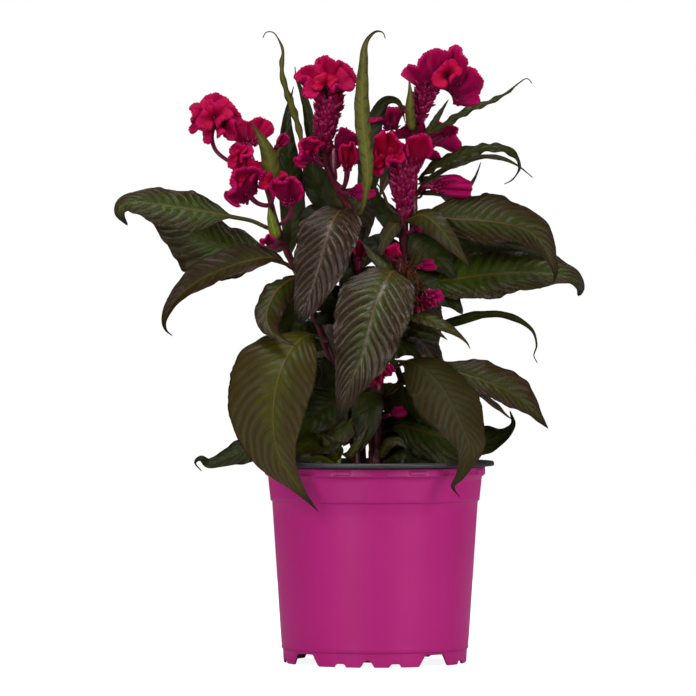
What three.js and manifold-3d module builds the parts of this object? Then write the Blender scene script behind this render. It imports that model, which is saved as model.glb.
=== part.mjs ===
// A crested celosia in a two-part pot: millimetres, +Z up, front towards -Y.
// The origin is on the pot's axis, at the level of the surface that it stands on.
import * as THREE from "three";
import { mergeVertices } from "three/addons/utils/BufferGeometryUtils.js";
import Module from "manifold-3d";

const wasm = await Module();
wasm.setup();

// ---- driving dimensions ----
const POT_HEIGHT = 151; // outer pot, floor to rim
const RIM_RADIUS = 85; // outer pot, rim band
const RIM_BAND = 7; // height of the rim band
const COLLAR_RADIUS = 82.4; // under the rim band
const COLLAR_BOTTOM = 124.5; // height of the step below the collar
const STEP_RADIUS = 79.35; // wall just below that step
const BASE_RADIUS = 71.9; // wall at the ridge above the skirt
const SKIRT_HEIGHT = 11;
const SKIRT_RADIUS = 70.4; // skirt, at the bottom
const WALL = 1.6;
const FLOOR_UNDERSIDE = 9.5;
const FOOT_RADIUS = 14; // flat boss in the middle of the floor
const LIP_RADIUS = 92; // inner pot, rolled lip
const LIP_TOP = 155;
const LINER_WALL = 1.2;
const GAP = 0.3; // between pieces that touch
const SOIL_TOP = 142;
const SOIL_MOUND = 5;
const SIDES = 36; // facets round the pots
const SOIL_SIDES = 20;
const PANEL_START = 2.4; // degrees from the front to the middle of a rim panel
const BLADE = 0.8; // leaf thickness
const PETAL = 2.2; // crest thickness at its edge
const SWING = 1.35; // how far, in radians, a crest's edge turns off its course
const FLORET = 4.5; // how far a floret stands out of its column
const STALK_SIDES = 6;
const PETIOLE = 0.1; // share of a leaf's length that is its petiole
const GIRTH = 0.07; // petiole thickness, as a share of the blade's half-width
const CREST_FOOT = 0.12; // share of a crest's size at which it starts
const CREST_ROUND = 0.1; // how much its ends fall short of its middle
const CREST_EASE = 1.3; // how late the folds open towards the edge
const CREST_CLOSE = 0.18; // thickness of a crest, at most, as a share of the fold's pitch
const GOLDEN_ANGLE = 2.39996;

const UP = new THREE.Vector3(0, 0, 1);
const vec = (p) => new THREE.Vector3(p[0], p[1], p[2]);
const mix = THREE.MathUtils.lerp;
const rad = THREE.MathUtils.degToRad;

// A repeatable stream of numbers from 0 to 1.
function seeded(seed) {
  let state = seed * 2654435761;
  return () => {
    state = (Math.imul(state ^ (state >>> 15), 2246822519) + 3266489917) >>> 0;
    return ((state ^ (state >>> 13)) >>> 0) / 4294967296;
  };
}

// ---- solids ----
function solidOf(geometry) {
  const bare = geometry.clone();
  bare.deleteAttribute("normal");
  bare.deleteAttribute("uv");
  const merged = mergeVertices(bare, 1e-4);
  return new wasm.Manifold(
    new wasm.Mesh({
      numProp: 3,
      vertProperties: new Float32Array(merged.attributes.position.array),
      triVerts: new Uint32Array(merged.index.array),
    }),
  );
}

function geometryOf(solid) {
  const mesh = solid.getMesh();
  const geometry = new THREE.BufferGeometry();
  const points = new Float32Array(mesh.vertProperties);
  geometry.setAttribute("position", new THREE.BufferAttribute(points, 3));
  geometry.setIndex(new THREE.BufferAttribute(new Uint32Array(mesh.triVerts), 1));
  return geometry;
}

const joined = (solids) => wasm.Manifold.union(solids);

// The largest of the bodies that a cut leaves.
function largest(solid) {
  const bodies = solid.decompose();
  return bodies.reduce((a, b) => (b.volume() > a.volume() ? b : a));
}

function geometryFrom(points, triangles) {
  const geometry = new THREE.BufferGeometry();
  const flat = points.flatMap((p) => [p.x, p.y, p.z]);
  geometry.setAttribute("position", new THREE.Float32BufferAttribute(flat, 3));
  geometry.setIndex(triangles);
  return geometry;
}

// A thin closed sheet about the surface point(u, v), as thick as thickness(u, v).
// Both faces are split along the same diagonals.
function sheet(point, us, vs, thickness) {
  const step = 1e-3;
  const front = [];
  const back = [];
  for (const u of us)
    for (const v of vs) {
      const middle = point(u, v);
      const du = point(u + step, v).sub(point(u - step, v));
      const dv = point(u, v + step).sub(point(u, v - step));
      const normal = du.cross(dv).normalize();
      const half = thickness(u, v) / 2;
      front.push(middle.clone().addScaledVector(normal, half));
      back.push(middle.clone().addScaledVector(normal, -half));
    }
  const rows = us.length;
  const row = vs.length;
  const shift = front.length;
  const triangles = [];
  for (let i = 0; i + 1 < rows; i++)
    for (let j = 0; j + 1 < row; j++) {
      const a = i * row + j;
      const b = a + row;
      const c = b + 1;
      const d = a + 1;
      triangles.push(a, b, c, a, c, d);
      triangles.push(a + shift, c + shift, b + shift, a + shift, d + shift, c + shift);
    }
  const border = [];
  for (let i = 0; i + 1 < rows; i++) border.push(i * row);
  for (let j = 0; j + 1 < row; j++) border.push((rows - 1) * row + j);
  for (let i = rows - 1; i > 0; i--) border.push(i * row + row - 1);
  for (let j = row - 1; j > 0; j--) border.push(j);
  border.forEach((a, k) => {
    const b = border[(k + 1) % border.length];
    triangles.push(a, a + shift, b + shift, a, b + shift, b);
  });
  return solidOf(geometryFrom([...front, ...back], triangles));
}

const curveThrough = (points) =>
  new THREE.CatmullRomCurve3(points.map(vec), false, "centripetal");

// Frames along a curve that turn as little as they can; normal is near face at the share held.
function framesAlong(curve, shares, face, held) {
  const middle = shares.findIndex((t) => t >= held);
  const frames = shares.map((t) => ({
    at: curve.getPointAt(t),
    tangent: curve.getTangentAt(t).normalize(),
  }));
  const square = (normal, tangent) =>
    normal.clone().addScaledVector(tangent, -normal.dot(tangent)).normalize();
  const turned = (from, to) => {
    const q = new THREE.Quaternion().setFromUnitVectors(from.tangent, to.tangent);
    return square(from.normal.clone().applyQuaternion(q), to.tangent);
  };
  frames[middle].normal = square(face, frames[middle].tangent);
  for (let i = middle + 1; i < frames.length; i++)
    frames[i].normal = turned(frames[i - 1], frames[i]);
  for (let i = middle - 1; i >= 0; i--)
    frames[i].normal = turned(frames[i + 1], frames[i]);
  return frames;
}

// A tapered round tube with closed ends; radius(t) is its radius at the share t of its length.
function tube(curve, radius, steps, sides) {
  const shares = Array.from({ length: steps + 1 }, (_, i) => i / steps);
  const start = curve.getTangentAt(0.5);
  const face = Math.abs(start.z) > 0.8 ? new THREE.Vector3(0, -1, 0) : UP;
  const frames = framesAlong(curve, shares, face, 0.5);
  const points = [];
  frames.forEach((frame, i) => {
    const side = frame.tangent.clone().cross(frame.normal);
    for (let k = 0; k < sides; k++) {
      const angle = (2 * Math.PI * k) / sides;
      const out = frame.normal.clone().multiplyScalar(Math.cos(angle));
      out.addScaledVector(side, Math.sin(angle));
      points.push(frame.at.clone().addScaledVector(out, radius(shares[i])));
    }
  });
  const triangles = [];
  for (let i = 0; i < steps; i++)
    for (let k = 0; k < sides; k++) {
      const a = i * sides + k;
      const b = i * sides + ((k + 1) % sides);
      triangles.push(a, b, b + sides, a, b + sides, a + sides);
    }
  const last = points.length - sides;
  points.push(frames[0].at, frames[steps].at);
  for (let k = 0; k < sides; k++) {
    const next = (k + 1) % sides;
    triangles.push(points.length - 2, next, k);
    triangles.push(points.length - 1, last + k, last + next);
  }
  return solidOf(geometryFrom(points, triangles));
}

// ---- pots and soil ----
const lathe = (profile, sides) => {
  const turned = new THREE.LatheGeometry(
    profile.map((p) => new THREE.Vector2(p[0], p[1])),
    sides,
  );
  turned.rotateX(Math.PI / 2).rotateZ(rad(PANEL_START - 180 / sides));
  return solidOf(turned);
};

// A block that stands across the wall at an angle from the front, cut from a flat outline.
function radialCutter(outline, angle, near, far) {
  const shape = new THREE.Shape(outline.map((p) => new THREE.Vector2(p[0], p[1])));
  const block = new THREE.ExtrudeGeometry(shape, { depth: far - near, bevelEnabled: false });
  block.rotateX(Math.PI / 2).translate(0, -near, 0).rotateZ(rad(angle));
  return solidOf(block);
}

function outerPot() {
  const rimBottom = POT_HEIGHT - RIM_BAND;
  const profile = [
    [0, 0],
    [FOOT_RADIUS, 0],
    [FOOT_RADIUS + 3, FLOOR_UNDERSIDE],
    [SKIRT_RADIUS - WALL, FLOOR_UNDERSIDE],
    [SKIRT_RADIUS - WALL, 0],
    [SKIRT_RADIUS, 0],
    [SKIRT_RADIUS + 0.6, SKIRT_HEIGHT - 0.4],
    [BASE_RADIUS, SKIRT_HEIGHT],
    [STEP_RADIUS, COLLAR_BOTTOM],
    [STEP_RADIUS + 1.3, COLLAR_BOTTOM + 0.3],
    [COLLAR_RADIUS, rimBottom - 1.2],
    [RIM_RADIUS, rimBottom + 0.8],
    [RIM_RADIUS, POT_HEIGHT - 0.6],
    [RIM_RADIUS - WALL, POT_HEIGHT],
    [COLLAR_RADIUS - WALL, rimBottom - 1.2],
    [STEP_RADIUS - WALL, COLLAR_BOTTOM - 1],
    [BASE_RADIUS - WALL, FLOOR_UNDERSIDE + WALL],
    [0, FLOOR_UNDERSIDE + WALL],
  ];
  const pot = lathe(profile, SIDES);
  const inside = SKIRT_RADIUS - 8;
  const outside = SKIRT_RADIUS + 8;
  const cuts = [];
  const wide = [[-14.5, -1], [14.5, -1], [14.5, 0], [9, 8.7], [-9, 8.7], [-14.5, 0]];
  const vee = [[-5.3, -1], [5.3, -1], [5.3, 0], [3.2, 3.6], [0, 5.5], [-3.2, 3.6], [-5.3, 0]];
  const low = [[-4.85, -1], [4.85, -1], [4.85, 0], [3.3, 2.6], [-3.3, 2.6], [-4.85, 0]];
  for (let quarter = 0; quarter < 4; quarter++) {
    const turn = 90 * quarter;
    cuts.push(radialCutter(wide, turn + 40, inside, outside));
    cuts.push(radialCutter(vee, turn - 5, inside, outside));
    cuts.push(radialCutter(low, turn + 12.5, inside, outside));
    cuts.push(radialCutter(low, turn - 22.5, inside, outside));
  }
  // Every other panel of the rim band lies a little deeper.
  const panelWidth = RIM_RADIUS * Math.tan(rad(4.6));
  const panel = [
    [-panelWidth, rimBottom + 1.6],
    [panelWidth, rimBottom + 1.6],
    [panelWidth, POT_HEIGHT - 1.4],
    [-panelWidth, POT_HEIGHT - 1.4],
  ];
  for (let angle = PANEL_START; angle < 360; angle += 20)
    cuts.push(radialCutter(panel, angle, RIM_RADIUS - 0.8, RIM_RADIUS + 3));
  return pot.subtract(joined(cuts));
}

const LINER_FLOOR = FLOOR_UNDERSIDE + WALL + GAP;
const LINER_BASE_RADIUS = BASE_RADIUS - WALL - 1.2;
const LINER_TOP_RADIUS = COLLAR_RADIUS - WALL - 1.2;
const LINER_STEP_RADIUS = STEP_RADIUS - WALL - 1.2;
const LINER_STEP = COLLAR_BOTTOM - 1;

function innerPot() {
  const lipBottom = POT_HEIGHT + GAP;
  return lathe(
    [
      [0, LINER_FLOOR],
      [LINER_BASE_RADIUS, LINER_FLOOR],
      [LINER_STEP_RADIUS, LINER_STEP],
      [LINER_TOP_RADIUS, lipBottom],
      [LIP_RADIUS - 0.4, lipBottom],
      [LIP_RADIUS, LIP_TOP - 1.8],
      [LIP_RADIUS - 1.2, LIP_TOP],
      [LIP_RADIUS - 9, LIP_TOP],
      [LINER_TOP_RADIUS - LINER_WALL, LIP_TOP - 2],
      [LINER_STEP_RADIUS - LINER_WALL, LINER_STEP],
      [LINER_BASE_RADIUS - LINER_WALL, LINER_FLOOR + 1.5],
      [0, LINER_FLOOR + 1.5],
    ],
    SIDES,
  );
}

// The potting mix: a plug with a crumbly mound on top.
function soilPlug() {
  const bottom = LINER_FLOOR + 1.5 + GAP;
  const clear = LINER_WALL + GAP + 0.4;
  const climb = (SOIL_TOP - 5 - LINER_STEP) / (LIP_TOP - LINER_STEP);
  const topRadius = mix(LINER_STEP_RADIUS, LINER_TOP_RADIUS, climb) - clear;
  const rings = [
    [LINER_BASE_RADIUS - clear, bottom],
    [LINER_STEP_RADIUS - clear, LINER_STEP],
    [topRadius, SOIL_TOP - 5],
    [topRadius * 0.82, SOIL_TOP - 1],
    [topRadius * 0.55, SOIL_TOP + SOIL_MOUND * 0.35],
    [topRadius * 0.3, SOIL_TOP + SOIL_MOUND * 0.8],
    [topRadius * 0.12, SOIL_TOP + SOIL_MOUND],
  ];
  const random = seeded(5);
  const points = [new THREE.Vector3(0, 0, bottom)];
  rings.forEach(([radius, height], i) => {
    for (let k = 0; k < SOIL_SIDES; k++) {
      const angle = (2 * Math.PI * k) / SOIL_SIDES;
      const crumb = i < 3 ? 0 : (random() - 0.5) * 3;
      points.push(
        new THREE.Vector3(radius * Math.cos(angle), radius * Math.sin(angle), height + crumb),
      );
    }
  });
  points.push(new THREE.Vector3(0, 0, SOIL_TOP + SOIL_MOUND));
  const triangles = [];
  const top = points.length - 1;
  const lastRing = 1 + (rings.length - 1) * SOIL_SIDES;
  for (let k = 0; k < SOIL_SIDES; k++) {
    const next = (k + 1) % SOIL_SIDES;
    triangles.push(0, 1 + next, 1 + k);
    triangles.push(top, lastRing + k, lastRing + next);
    for (let i = 0; i + 1 < rings.length; i++) {
      const a = 1 + i * SOIL_SIDES + k;
      const b = 1 + i * SOIL_SIDES + next;
      triangles.push(a, b, b + SOIL_SIDES, a, b + SOIL_SIDES, a + SOIL_SIDES);
    }
  }
  return solidOf(geometryFrom(points, triangles));
}

// ---- stems ----
// Each: its axis, and its radius at the foot and at the tip.
const STEMS = {
  stem_main: {
    points: [[0, 0, 122], [0, 0, 150], [1, 0, 200], [6, 0, 240], [13, 0, 275], [20, 0, 300],
      [22, 0, 325], [22, -2, 345]],
    radii: [4.6, 3],
  },
  branch_right: {
    points: [[17, 1, 285], [22, 10, 300], [28, 16, 322], [30, 18, 350], [30, 18, 380],
      [31, 14, 410], [35, 12, 425]],
    radii: [2.8, 2.4],
  },
  stem_centre: {
    points: [[-10, 14, 122], [-10, 14, 150], [-12, 14, 200], [-14, 14, 260], [-14, 12, 320],
      [-16, 10, 338], [-20, 8, 350], [-28, 6, 363], [-36, 4, 380], [-41, 2, 396]],
    radii: [3.6, 2.4],
  },
  stem_left: {
    points: [[-12, 4, 122], [-14, 4, 150], [-22, 8, 200], [-42, 8, 255], [-60, 6, 300],
      [-72, 4, 325], [-78, 2, 345], [-83, 2, 365], [-88, 4, 385]],
    radii: [3.4, 2],
  },
  shoot: {
    points: [[-29, -14, 126], [-29, -14, 146], [-27, -13, 160], [-25, -12, 166]],
    radii: [1.6, 1.2],
  },
};

for (const stem of Object.values(STEMS)) {
  stem.curve = curveThrough(stem.points);
  stem.radius = (t) => mix(stem.radii[0], stem.radii[1], t);
}

const stemTube = (name, grown = 0) => {
  const stem = STEMS[name];
  const steps = Math.ceil(stem.curve.getLength() / 22);
  return tube(stem.curve, (t) => stem.radius(t) + grown, steps, name === "shoot" ? 6 : 8);
};

// The point of a stem's axis that lies nearest to a given point.
function rootOn(name, target) {
  const { curve } = STEMS[name];
  let best = null;
  for (let i = 0; i <= 400; i++) {
    const candidate = curve.getPointAt(i / 400);
    const distance = candidate.distanceTo(target);
    if (!best || distance < best.distance) best = { candidate, distance };
  }
  return best.candidate;
}

// ---- leaves ----
// Half-width along the blade, as shares of the widest: [share of length, share of width].
const OUTLINE = [[0, 0.07], [0.07, 0.3], [0.17, 0.74], [0.3, 0.98], [0.42, 1], [0.56, 0.86],
  [0.7, 0.6], [0.82, 0.32], [0.91, 0.15], [1, 0.05]];
const outlineCurve = new THREE.SplineCurve(OUTLINE.map((p) => new THREE.Vector2(p[0], p[1])));
const STATIONS = [0, 0.09, 0.21, 0.36, 0.54, 0.7, 0.82, 0.91, 1];
const FEW_STATIONS = [0, 0.14, 0.34, 0.56, 0.74, 0.87, 1];
const SLENDER = 10; // half-width under which the blade itself reaches the stem
const WIDE = 24; // half-width from which a blade has more columns

function widthShare(t) {
  const span = OUTLINE.length - 1;
  let low = 0;
  while (low < span - 1 && OUTLINE[low + 1][0] <= t) low++;
  const [t0, w0] = OUTLINE[low];
  const [t1, w1] = OUTLINE[low + 1];
  const local = THREE.MathUtils.clamp((t - t0) / (t1 - t0), 0, 1);
  const eased = outlineCurve.getPoint((low + local) / span).y;
  return Math.max(mix(w0, w1, local) * 0.2 + eased * 0.8, 0.03);
}

// A blade on its petiole, from the stem's axis out to the tip, with a gap of its own round the
// stem, or, where it is one piece with the stem, a bare blade.
function leaf({ on, half, face = [0, -0.8, 0.6], fold = 0.22, curl = 0.25, wave = 0.1,
  waves = 3.5, petiole = PETIOLE, points }, seat = true) {
  const slender = half < SLENDER;
  if (slender) petiole = 0.02;
  const curve = curveThrough([rootOn(on, vec(points[0])).toArray(), ...points]);
  const wide = half >= WIDE;
  const count = 60;
  const shares = Array.from({ length: count + 1 }, (_, i) => i / count);
  const frames = framesAlong(curve, shares, vec(face), 0.5);
  const frameAt = (t) => {
    const place = THREE.MathUtils.clamp(t, 0, 1) * count;
    const low = Math.min(Math.floor(place), count - 1);
    const local = place - low;
    return {
      at: curve.getPointAt(THREE.MathUtils.clamp(t, 0, 1)),
      tangent: frames[low].tangent.clone().lerp(frames[low + 1].tangent, local).normalize(),
      normal: frames[low].normal.clone().lerp(frames[low + 1].normal, local).normalize(),
    };
  };
  const girth = THREE.MathUtils.clamp(half * GIRTH, 0.5, 1.6);
  const onBlade = (share) => Math.max((share - petiole) / (1 - petiole), 0);
  const surface = (share, v) => {
    const u = onBlade(share);
    const frame = frameAt(share);
    const side = frame.tangent.clone().cross(frame.normal);
    const calm = widthShare(u);
    const width = Math.max(half * calm, 0.5, share < petiole ? girth : 0);
    const across = v * width;
    const ripple = wave * half * v * v * Math.sin(2 * Math.PI * waves * u + 1.6 * Math.sign(v));
    const rise = fold * Math.abs(across) - (curl * across * across) / half;
    return frame.at
      .clone()
      .addScaledVector(side, across)
      .addScaledVector(frame.normal, rise + ripple * calm);
  };
  const thinning = (share) => THREE.MathUtils.smoothstep(share, petiole, petiole + 0.12);
  const thickness = (share) => (slender ? BLADE : mix(1.6 * girth, BLADE, thinning(share)));
  const along = [0, ...(seat ? STATIONS : FEW_STATIONS).map((t) => mix(petiole, 1, t))];
  const columns = wide ? [-1, -0.5, 0, 0.5, 1] : [-1, 0, 1];
  const blade = sheet(surface, along, columns, thickness);
  return seat ? largest(blade.subtract(stemTube(on, GAP))) : blade;
}

// Root, then midrib to tip; half is the widest half-width; face is the way the upper side looks.
const LEAVES = {
  leaf_left_high: { on: "stem_left", half: 17, face: [0.1, -0.8, 0.6], points: [[-80, 0, 334],
    [-95, -2, 340], [-110, -4, 343], [-125, -6, 346], [-145, -9, 349], [-165, -12, 352],
    [-182, -15, 354], [-193, -16, 352], [-196, -16, 346], [-190, -16, 336]] },
  leaf_left_back: { on: "stem_left", half: 22, face: [0, -0.8, 0.6], points: [[-66, 12, 306],
    [-85, 20, 314], [-105, 24, 316], [-125, 24, 320], [-145, 22, 328], [-165, 20, 336],
    [-180, 18, 341]] },
  leaf_left_front: { on: "stem_left", half: 16, face: [0.1, -0.75, 0.65], points: [[-64, -2, 303],
    [-78, -12, 311], [-100, -20, 308], [-120, -24, 301], [-140, -26, 290], [-154, -26, 277],
    [-161, -25, 263], [-160, -24, 256], [-155, -23, 251]] },
  leaf_bronze: { on: "stem_centre", half: 22, face: [-0.25, -0.95, 0.2], points: [[-24, 0, 347],
    [-27, -8, 347], [-33, -22, 338], [-38, -32, 322], [-44, -37, 300], [-50, -38, 282],
    [-57, -36, 266], [-60, -34, 262]] },
  leaf_hooked: { on: "stem_left", half: 8, face: [-0.3, -0.95, 0.1], points: [[-58, 0, 297],
    [-66, -8, 294], [-76, -16, 285], [-83, -19, 268], [-80, -19, 256], [-72, -18, 249],
    [-61, -17, 242]] },
  leaf_front_left: { on: "stem_left", half: 36, fold: 0.2, face: [-0.2, -0.95, 0.2], points: [[-38, -4, 248], [-50, -22, 252], [-62, -45, 243], [-72, -62, 224],
      [-77, -72, 198], [-76, -80, 174], [-70, -87, 156], [-58, -94, 138], [-43, -98, 119]] },
  leaf_left_shaded: { on: "stem_left", half: 15, face: [0, -0.6, 0.8], points: [[-42, 20, 240],
    [-52, 26, 252], [-65, 32, 252], [-85, 36, 238], [-96, 36, 224]] },
  leaf_front_centre: { on: "stem_main", half: 29, fold: 0.25, face: [-0.1, -0.97, 0.2], points: [[17, -6, 300], [13, -18, 300], [7, -34, 291], [0, -45, 275],
      [-5, -50, 258], [-10, -51, 238], [-17, -50, 220], [-23, -47, 203], [-28, -43, 186]] },
  leaf_low_left: { on: "stem_left", half: 14, face: [0, -0.7, 0.7], petiole: 0.2,
    points: [[-22, 2, 172], [-40, -2, 177], [-65, -6, 174], [-90, -10, 167], [-112, -14, 158],
      [-128, -16, 153], [-134, -16, 157], [-138, -15, 154], [-133, -15, 147]] },
  leaf_low_front: { on: "stem_left", half: 20, face: [-0.2, -0.8, 0.55], points: [[-22, -2, 196],
    [-29, -10, 201], [-38, -17, 197], [-49, -24, 188], [-59, -30, 176], [-67, -34, 163]] },
  leaf_front_right: { on: "stem_main", half: 24, fold: 0.2, face: [0.2, -0.95, 0.2],
    points: [[12, -6, 226], [26, -18, 232], [40, -34, 225], [51, -48, 211], [60, -61, 195],
      [66, -72, 180], [69, -82, 166], [67, -90, 152], [61, -94, 141], [57, -95, 134],
      [63, -95, 127]] },
  leaf_right_low: { on: "stem_main", half: 18, face: [0, -0.8, 0.6], petiole: 0.26,
    points: [[12, 0, 232], [30, 0, 231], [50, -10, 227], [70, -17, 221], [90, -20, 214],
      [106, -20, 206], [118, -19, 196], [126, -18, 187], [133, -18, 180]] },
  leaf_low_right: { on: "stem_main", half: 25, face: [0, -0.75, 0.65], points: [[6, 2, 176],
    [18, 4, 182], [38, 5, 177], [62, 4, 171], [84, 2, 170], [99, -1, 174], [107, -3, 183],
    [104, -4, 194]] },
  leaf_right_high: { on: "branch_right", half: 22, face: [0, -0.85, 0.5], points: [[32, 10, 342],
    [44, -2, 344], [58, -10, 341], [75, -15, 340], [95, -17, 338], [112, -17, 334],
    [125, -16, 326], [133, -15, 314], [138, -14, 300], [137, -14, 292]] },
  leaf_right_mid: { on: "branch_right", half: 21, face: [0, -0.85, 0.5], points: [[26, 12, 292],
    [45, 14, 293], [62, 14, 295], [82, 14, 298], [105, 12, 300], [128, 10, 300],
    [143, 8, 298], [153, 7, 295], [158, 6, 288], [157, 6, 282]] },
  leaf_right_front: { on: "stem_main", half: 10, face: [0.2, -0.95, 0.2], points: [[26, -8, 341],
    [36, -22, 344], [48, -34, 335], [60, -40, 320], [68, -42, 309], [73, -41, 301]] },
  leaf_right_slender: { on: "stem_main", half: 4.5, face: [0, -0.6, 0.8], points: [[18, 8, 260],
    [40, 16, 258], [60, 18, 262], [78, 16, 267], [97, 14, 268], [112, 12, 263],
    [122, 11, 255], [125, 10, 244], [123, 10, 236], [126, 10, 230]] },
  leaf_tip_right: { on: "branch_right", half: 3.5, face: [0, -0.7, 0.7], points: [[33, 6, 402],
    [42, -2, 408], [55, -8, 415], [70, -12, 424], [88, -14, 431], [103, -14, 439],
    [111, -14, 446], [117, -14, 449], [121, -14, 445]] },
  leaf_upper_right: { on: "branch_right", half: 7, face: [0, -0.6, 0.8], points: [[34, 12, 373],
    [42, 4, 380], [55, -2, 387], [70, -6, 392], [86, -8, 396], [100, -8, 395],
    [109, -8, 388], [111, -7, 381], [106, -7, 372], [99, -6, 368]] },
  leaf_upper_back: { on: "branch_right", half: 5, face: [0, -0.5, 0.85], points: [[36, 26, 370],
    [60, 34, 384], [85, 34, 391], [100, 30, 389], [112, 26, 383], [123, 22, 374]] },
  leaf_tall_left: { on: "stem_centre", half: 3.2, face: [-0.6, -0.8, 0.1], points: [[-45, 6, 390],
    [-55, 8, 399], [-60, 9, 416], [-66, 9, 434], [-71, 8, 450], [-72, 7, 462], [-71, 6, 471],
    [-74, 5, 480], [-79, 5, 486], [-84, 5, 486], [-87, 5, 481]] },
  leaf_tall_centre: { on: "stem_centre", half: 6, face: [0.2, -0.95, 0.1], points: [[-14, -2, 341],
    [-10, -16, 348], [-7, -26, 362], [-6, -29, 380], [-8, -29, 400], [-10, -27, 420],
    [-10, -24, 440], [-9, -22, 460], [-8, -20, 473], [-5, -19, 480], [1, -19, 485],
    [6, -19, 484], [8, -19, 479]] },
};

// Leaves round the back: direction in degrees from the front, reach, height at root, crest and tip.
const BACK_LEAVES = {
  leaf_back_1: { on: "branch_right", turn: 128, reach: 128, heights: [318, 342, 290], half: 20 },
  leaf_back_2: { on: "stem_main", turn: 165, reach: 132, heights: [268, 292, 208], half: 23 },
  leaf_back_3: { on: "stem_centre", turn: 228, reach: 128, heights: [300, 328, 292], half: 21 },
  leaf_back_4: { on: "stem_centre", turn: 200, reach: 132, heights: [246, 268, 190], half: 23 },
  leaf_back_5: { on: "stem_left", turn: 250, reach: 86, heights: [182, 205, 172], half: 17 },
  leaf_back_6: { on: "stem_main", turn: 186, reach: 136, heights: [188, 212, 160], half: 22 },
  leaf_back_7: { on: "stem_main", turn: 118, reach: 122, heights: [200, 224, 186], half: 20 },
  leaf_back_8: { on: "stem_centre", turn: 178, reach: 108, heights: [334, 366, 308], half: 17 },
  leaf_back_9: { on: "branch_right", turn: 150, reach: 104, heights: [352, 376, 330], half: 15 },
};

function backLeaf({ on, turn, reach, heights, half }) {
  const [foot, crown, tip] = heights;
  const out = [Math.sin(rad(turn)), -Math.cos(rad(turn))];
  const profile = [[0.1, 0.3], [0.22, 0.8], [0.38, 1], [0.55, 0.86], [0.72, 0.58], [0.86, 0.28],
    [0.96, 0.06], [1, 0]];
  const root = rootOn(on, new THREE.Vector3(0, 0, foot));
  const points = profile.map(([share, height], i) => [
    root.x + out[0] * reach * share,
    root.y + out[1] * reach * share,
    mix(i < 2 ? foot : tip, crown, height),
  ]);
  return { on, half, points, face: [out[0] * 0.35, out[1] * 0.35, 0.9], petiole: 0.12 };
}

// Small leaves and bracts that are one piece with their stem.
const BRACTS = {
  stem_main: [
    { on: "branch_right", half: 4, face: [0.3, -0.9, 0], points: [[29, 6, 412], [27, -1, 424],
      [27, -3, 440], [26, -3, 452]] },
    { on: "stem_main", half: 6, face: [0.1, -0.7, 0.7], points: [[22, -4, 269], [36, -18, 266],
      [50, -26, 260], [62, -28, 253], [70, -28, 246], [73, -28, 241]] },
    { on: "stem_main", half: 5, face: [0, -0.7, 0.7], points: [[16, -4, 263], [24, -10, 264],
      [34, -13, 261], [46, -13, 255], [56, -11, 248]] },
  ],
  stem_centre: [
    { on: "stem_centre", half: 9, face: [-0.1, -0.9, 0.2], points: [[-12, 17, 352], [-5, 24, 374],
      [-4, 24, 400], [1, 23, 421], [9, 20, 434], [18, 18, 433], [24, 17, 416]] },
    { on: "stem_centre", half: 8, face: [0, -0.8, 0.4], points: [[-24, 14, 352], [-38, 24, 366],
      [-48, 30, 378], [-58, 34, 388]] },
    { on: "stem_centre", half: 4, face: [-0.4, -0.9, 0], points: [[-40, 12, 386], [-48, 20, 404],
      [-53, 22, 430], [-57, 22, 442], [-61, 22, 452], [-62, 22, 461]] },
  ],
  stem_left: [
    { on: "stem_left", half: 8, face: [0, -0.95, 0.1], points: [[-66, 14, 316], [-64, 22, 340],
      [-65, 27, 375], [-67, 30, 400], [-70, 31, 420], [-70, 31, 438]] },
    { on: "stem_left", half: 6, face: [-0.2, -0.95, 0], points: [[-82, -6, 362], [-80, -14, 374],
      [-81, -18, 390], [-84, -19, 404], [-90, -19, 417]] },
    { on: "stem_left", half: 3, face: [0, -1, 0], points: [[-80, 6, 382], [-75, 9, 394],
      [-71, 10, 404], [-67, 10, 413]] },
  ],
  shoot: [
    { on: "shoot", half: 3, face: [0, -0.8, 0.6], points: [[-33, -15, 160], [-40, -17, 169],
      [-46, -18, 177]] },
    { on: "shoot", half: 4.5, face: [0.2, -0.9, 0.2], points: [[-22, -16, 170], [-18, -19, 182],
      [-10, -20, 191], [-2, -20, 196]] },
    { on: "shoot", half: 3.5, face: [0, -0.9, 0.3], points: [[-20, -20, 160], [-12, -24, 171],
      [-5, -25, 184]] },
  ],
};

// More leaves of the leafy stems, on the sides and the back.
const BACK_BRACTS = {
  stem_main: [
    { on: "stem_main", turn: 142, reach: 92, heights: [232, 254, 212], half: 14 },
    { on: "branch_right", turn: 200, reach: 78, heights: [370, 392, 360], half: 11 },
  ],
  stem_centre: [
    { on: "stem_centre", turn: 148, reach: 76, heights: [298, 318, 282], half: 13 },
    { on: "stem_centre", turn: 216, reach: 88, heights: [212, 234, 190], half: 15 },
    { on: "stem_centre", turn: 192, reach: 62, heights: [312, 336, 308], half: 11 },
  ],
  stem_left: [
    { on: "stem_left", turn: 205, reach: 78, heights: [276, 298, 256], half: 13 },
  ],
  shoot: [],
};

// ---- blooms ----
// A winding line at an even pace: shares along its length, and how far it swings to each side.
function meander(waves, swing, seed) {
  const phase = 2 * Math.PI * seeded(seed)();
  const count = 24 * waves;
  const line = [{ along: 0, off: 0 }];
  for (let i = 0; i < count; i++) {
    const s = (i + 0.5) / count;
    const sway = 1 + 0.2 * Math.sin(2 * Math.PI * 1.3 * s + phase);
    const heading = swing * sway * Math.cos(2 * Math.PI * waves * s);
    const last = line[i];
    line.push({ along: last.along + Math.cos(heading), off: last.off + Math.sin(heading) });
  }
  const whole = line[count].along;
  return (u) => {
    const place = THREE.MathUtils.clamp(u, 0, 1) * count;
    const low = Math.min(Math.floor(place), count - 1);
    const a = line[low];
    const b = line[low + 1];
    return {
      along: mix(a.along, b.along, place - low) / whole,
      off: mix(a.off, b.off, place - low) / whole,
    };
  };
}

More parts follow.
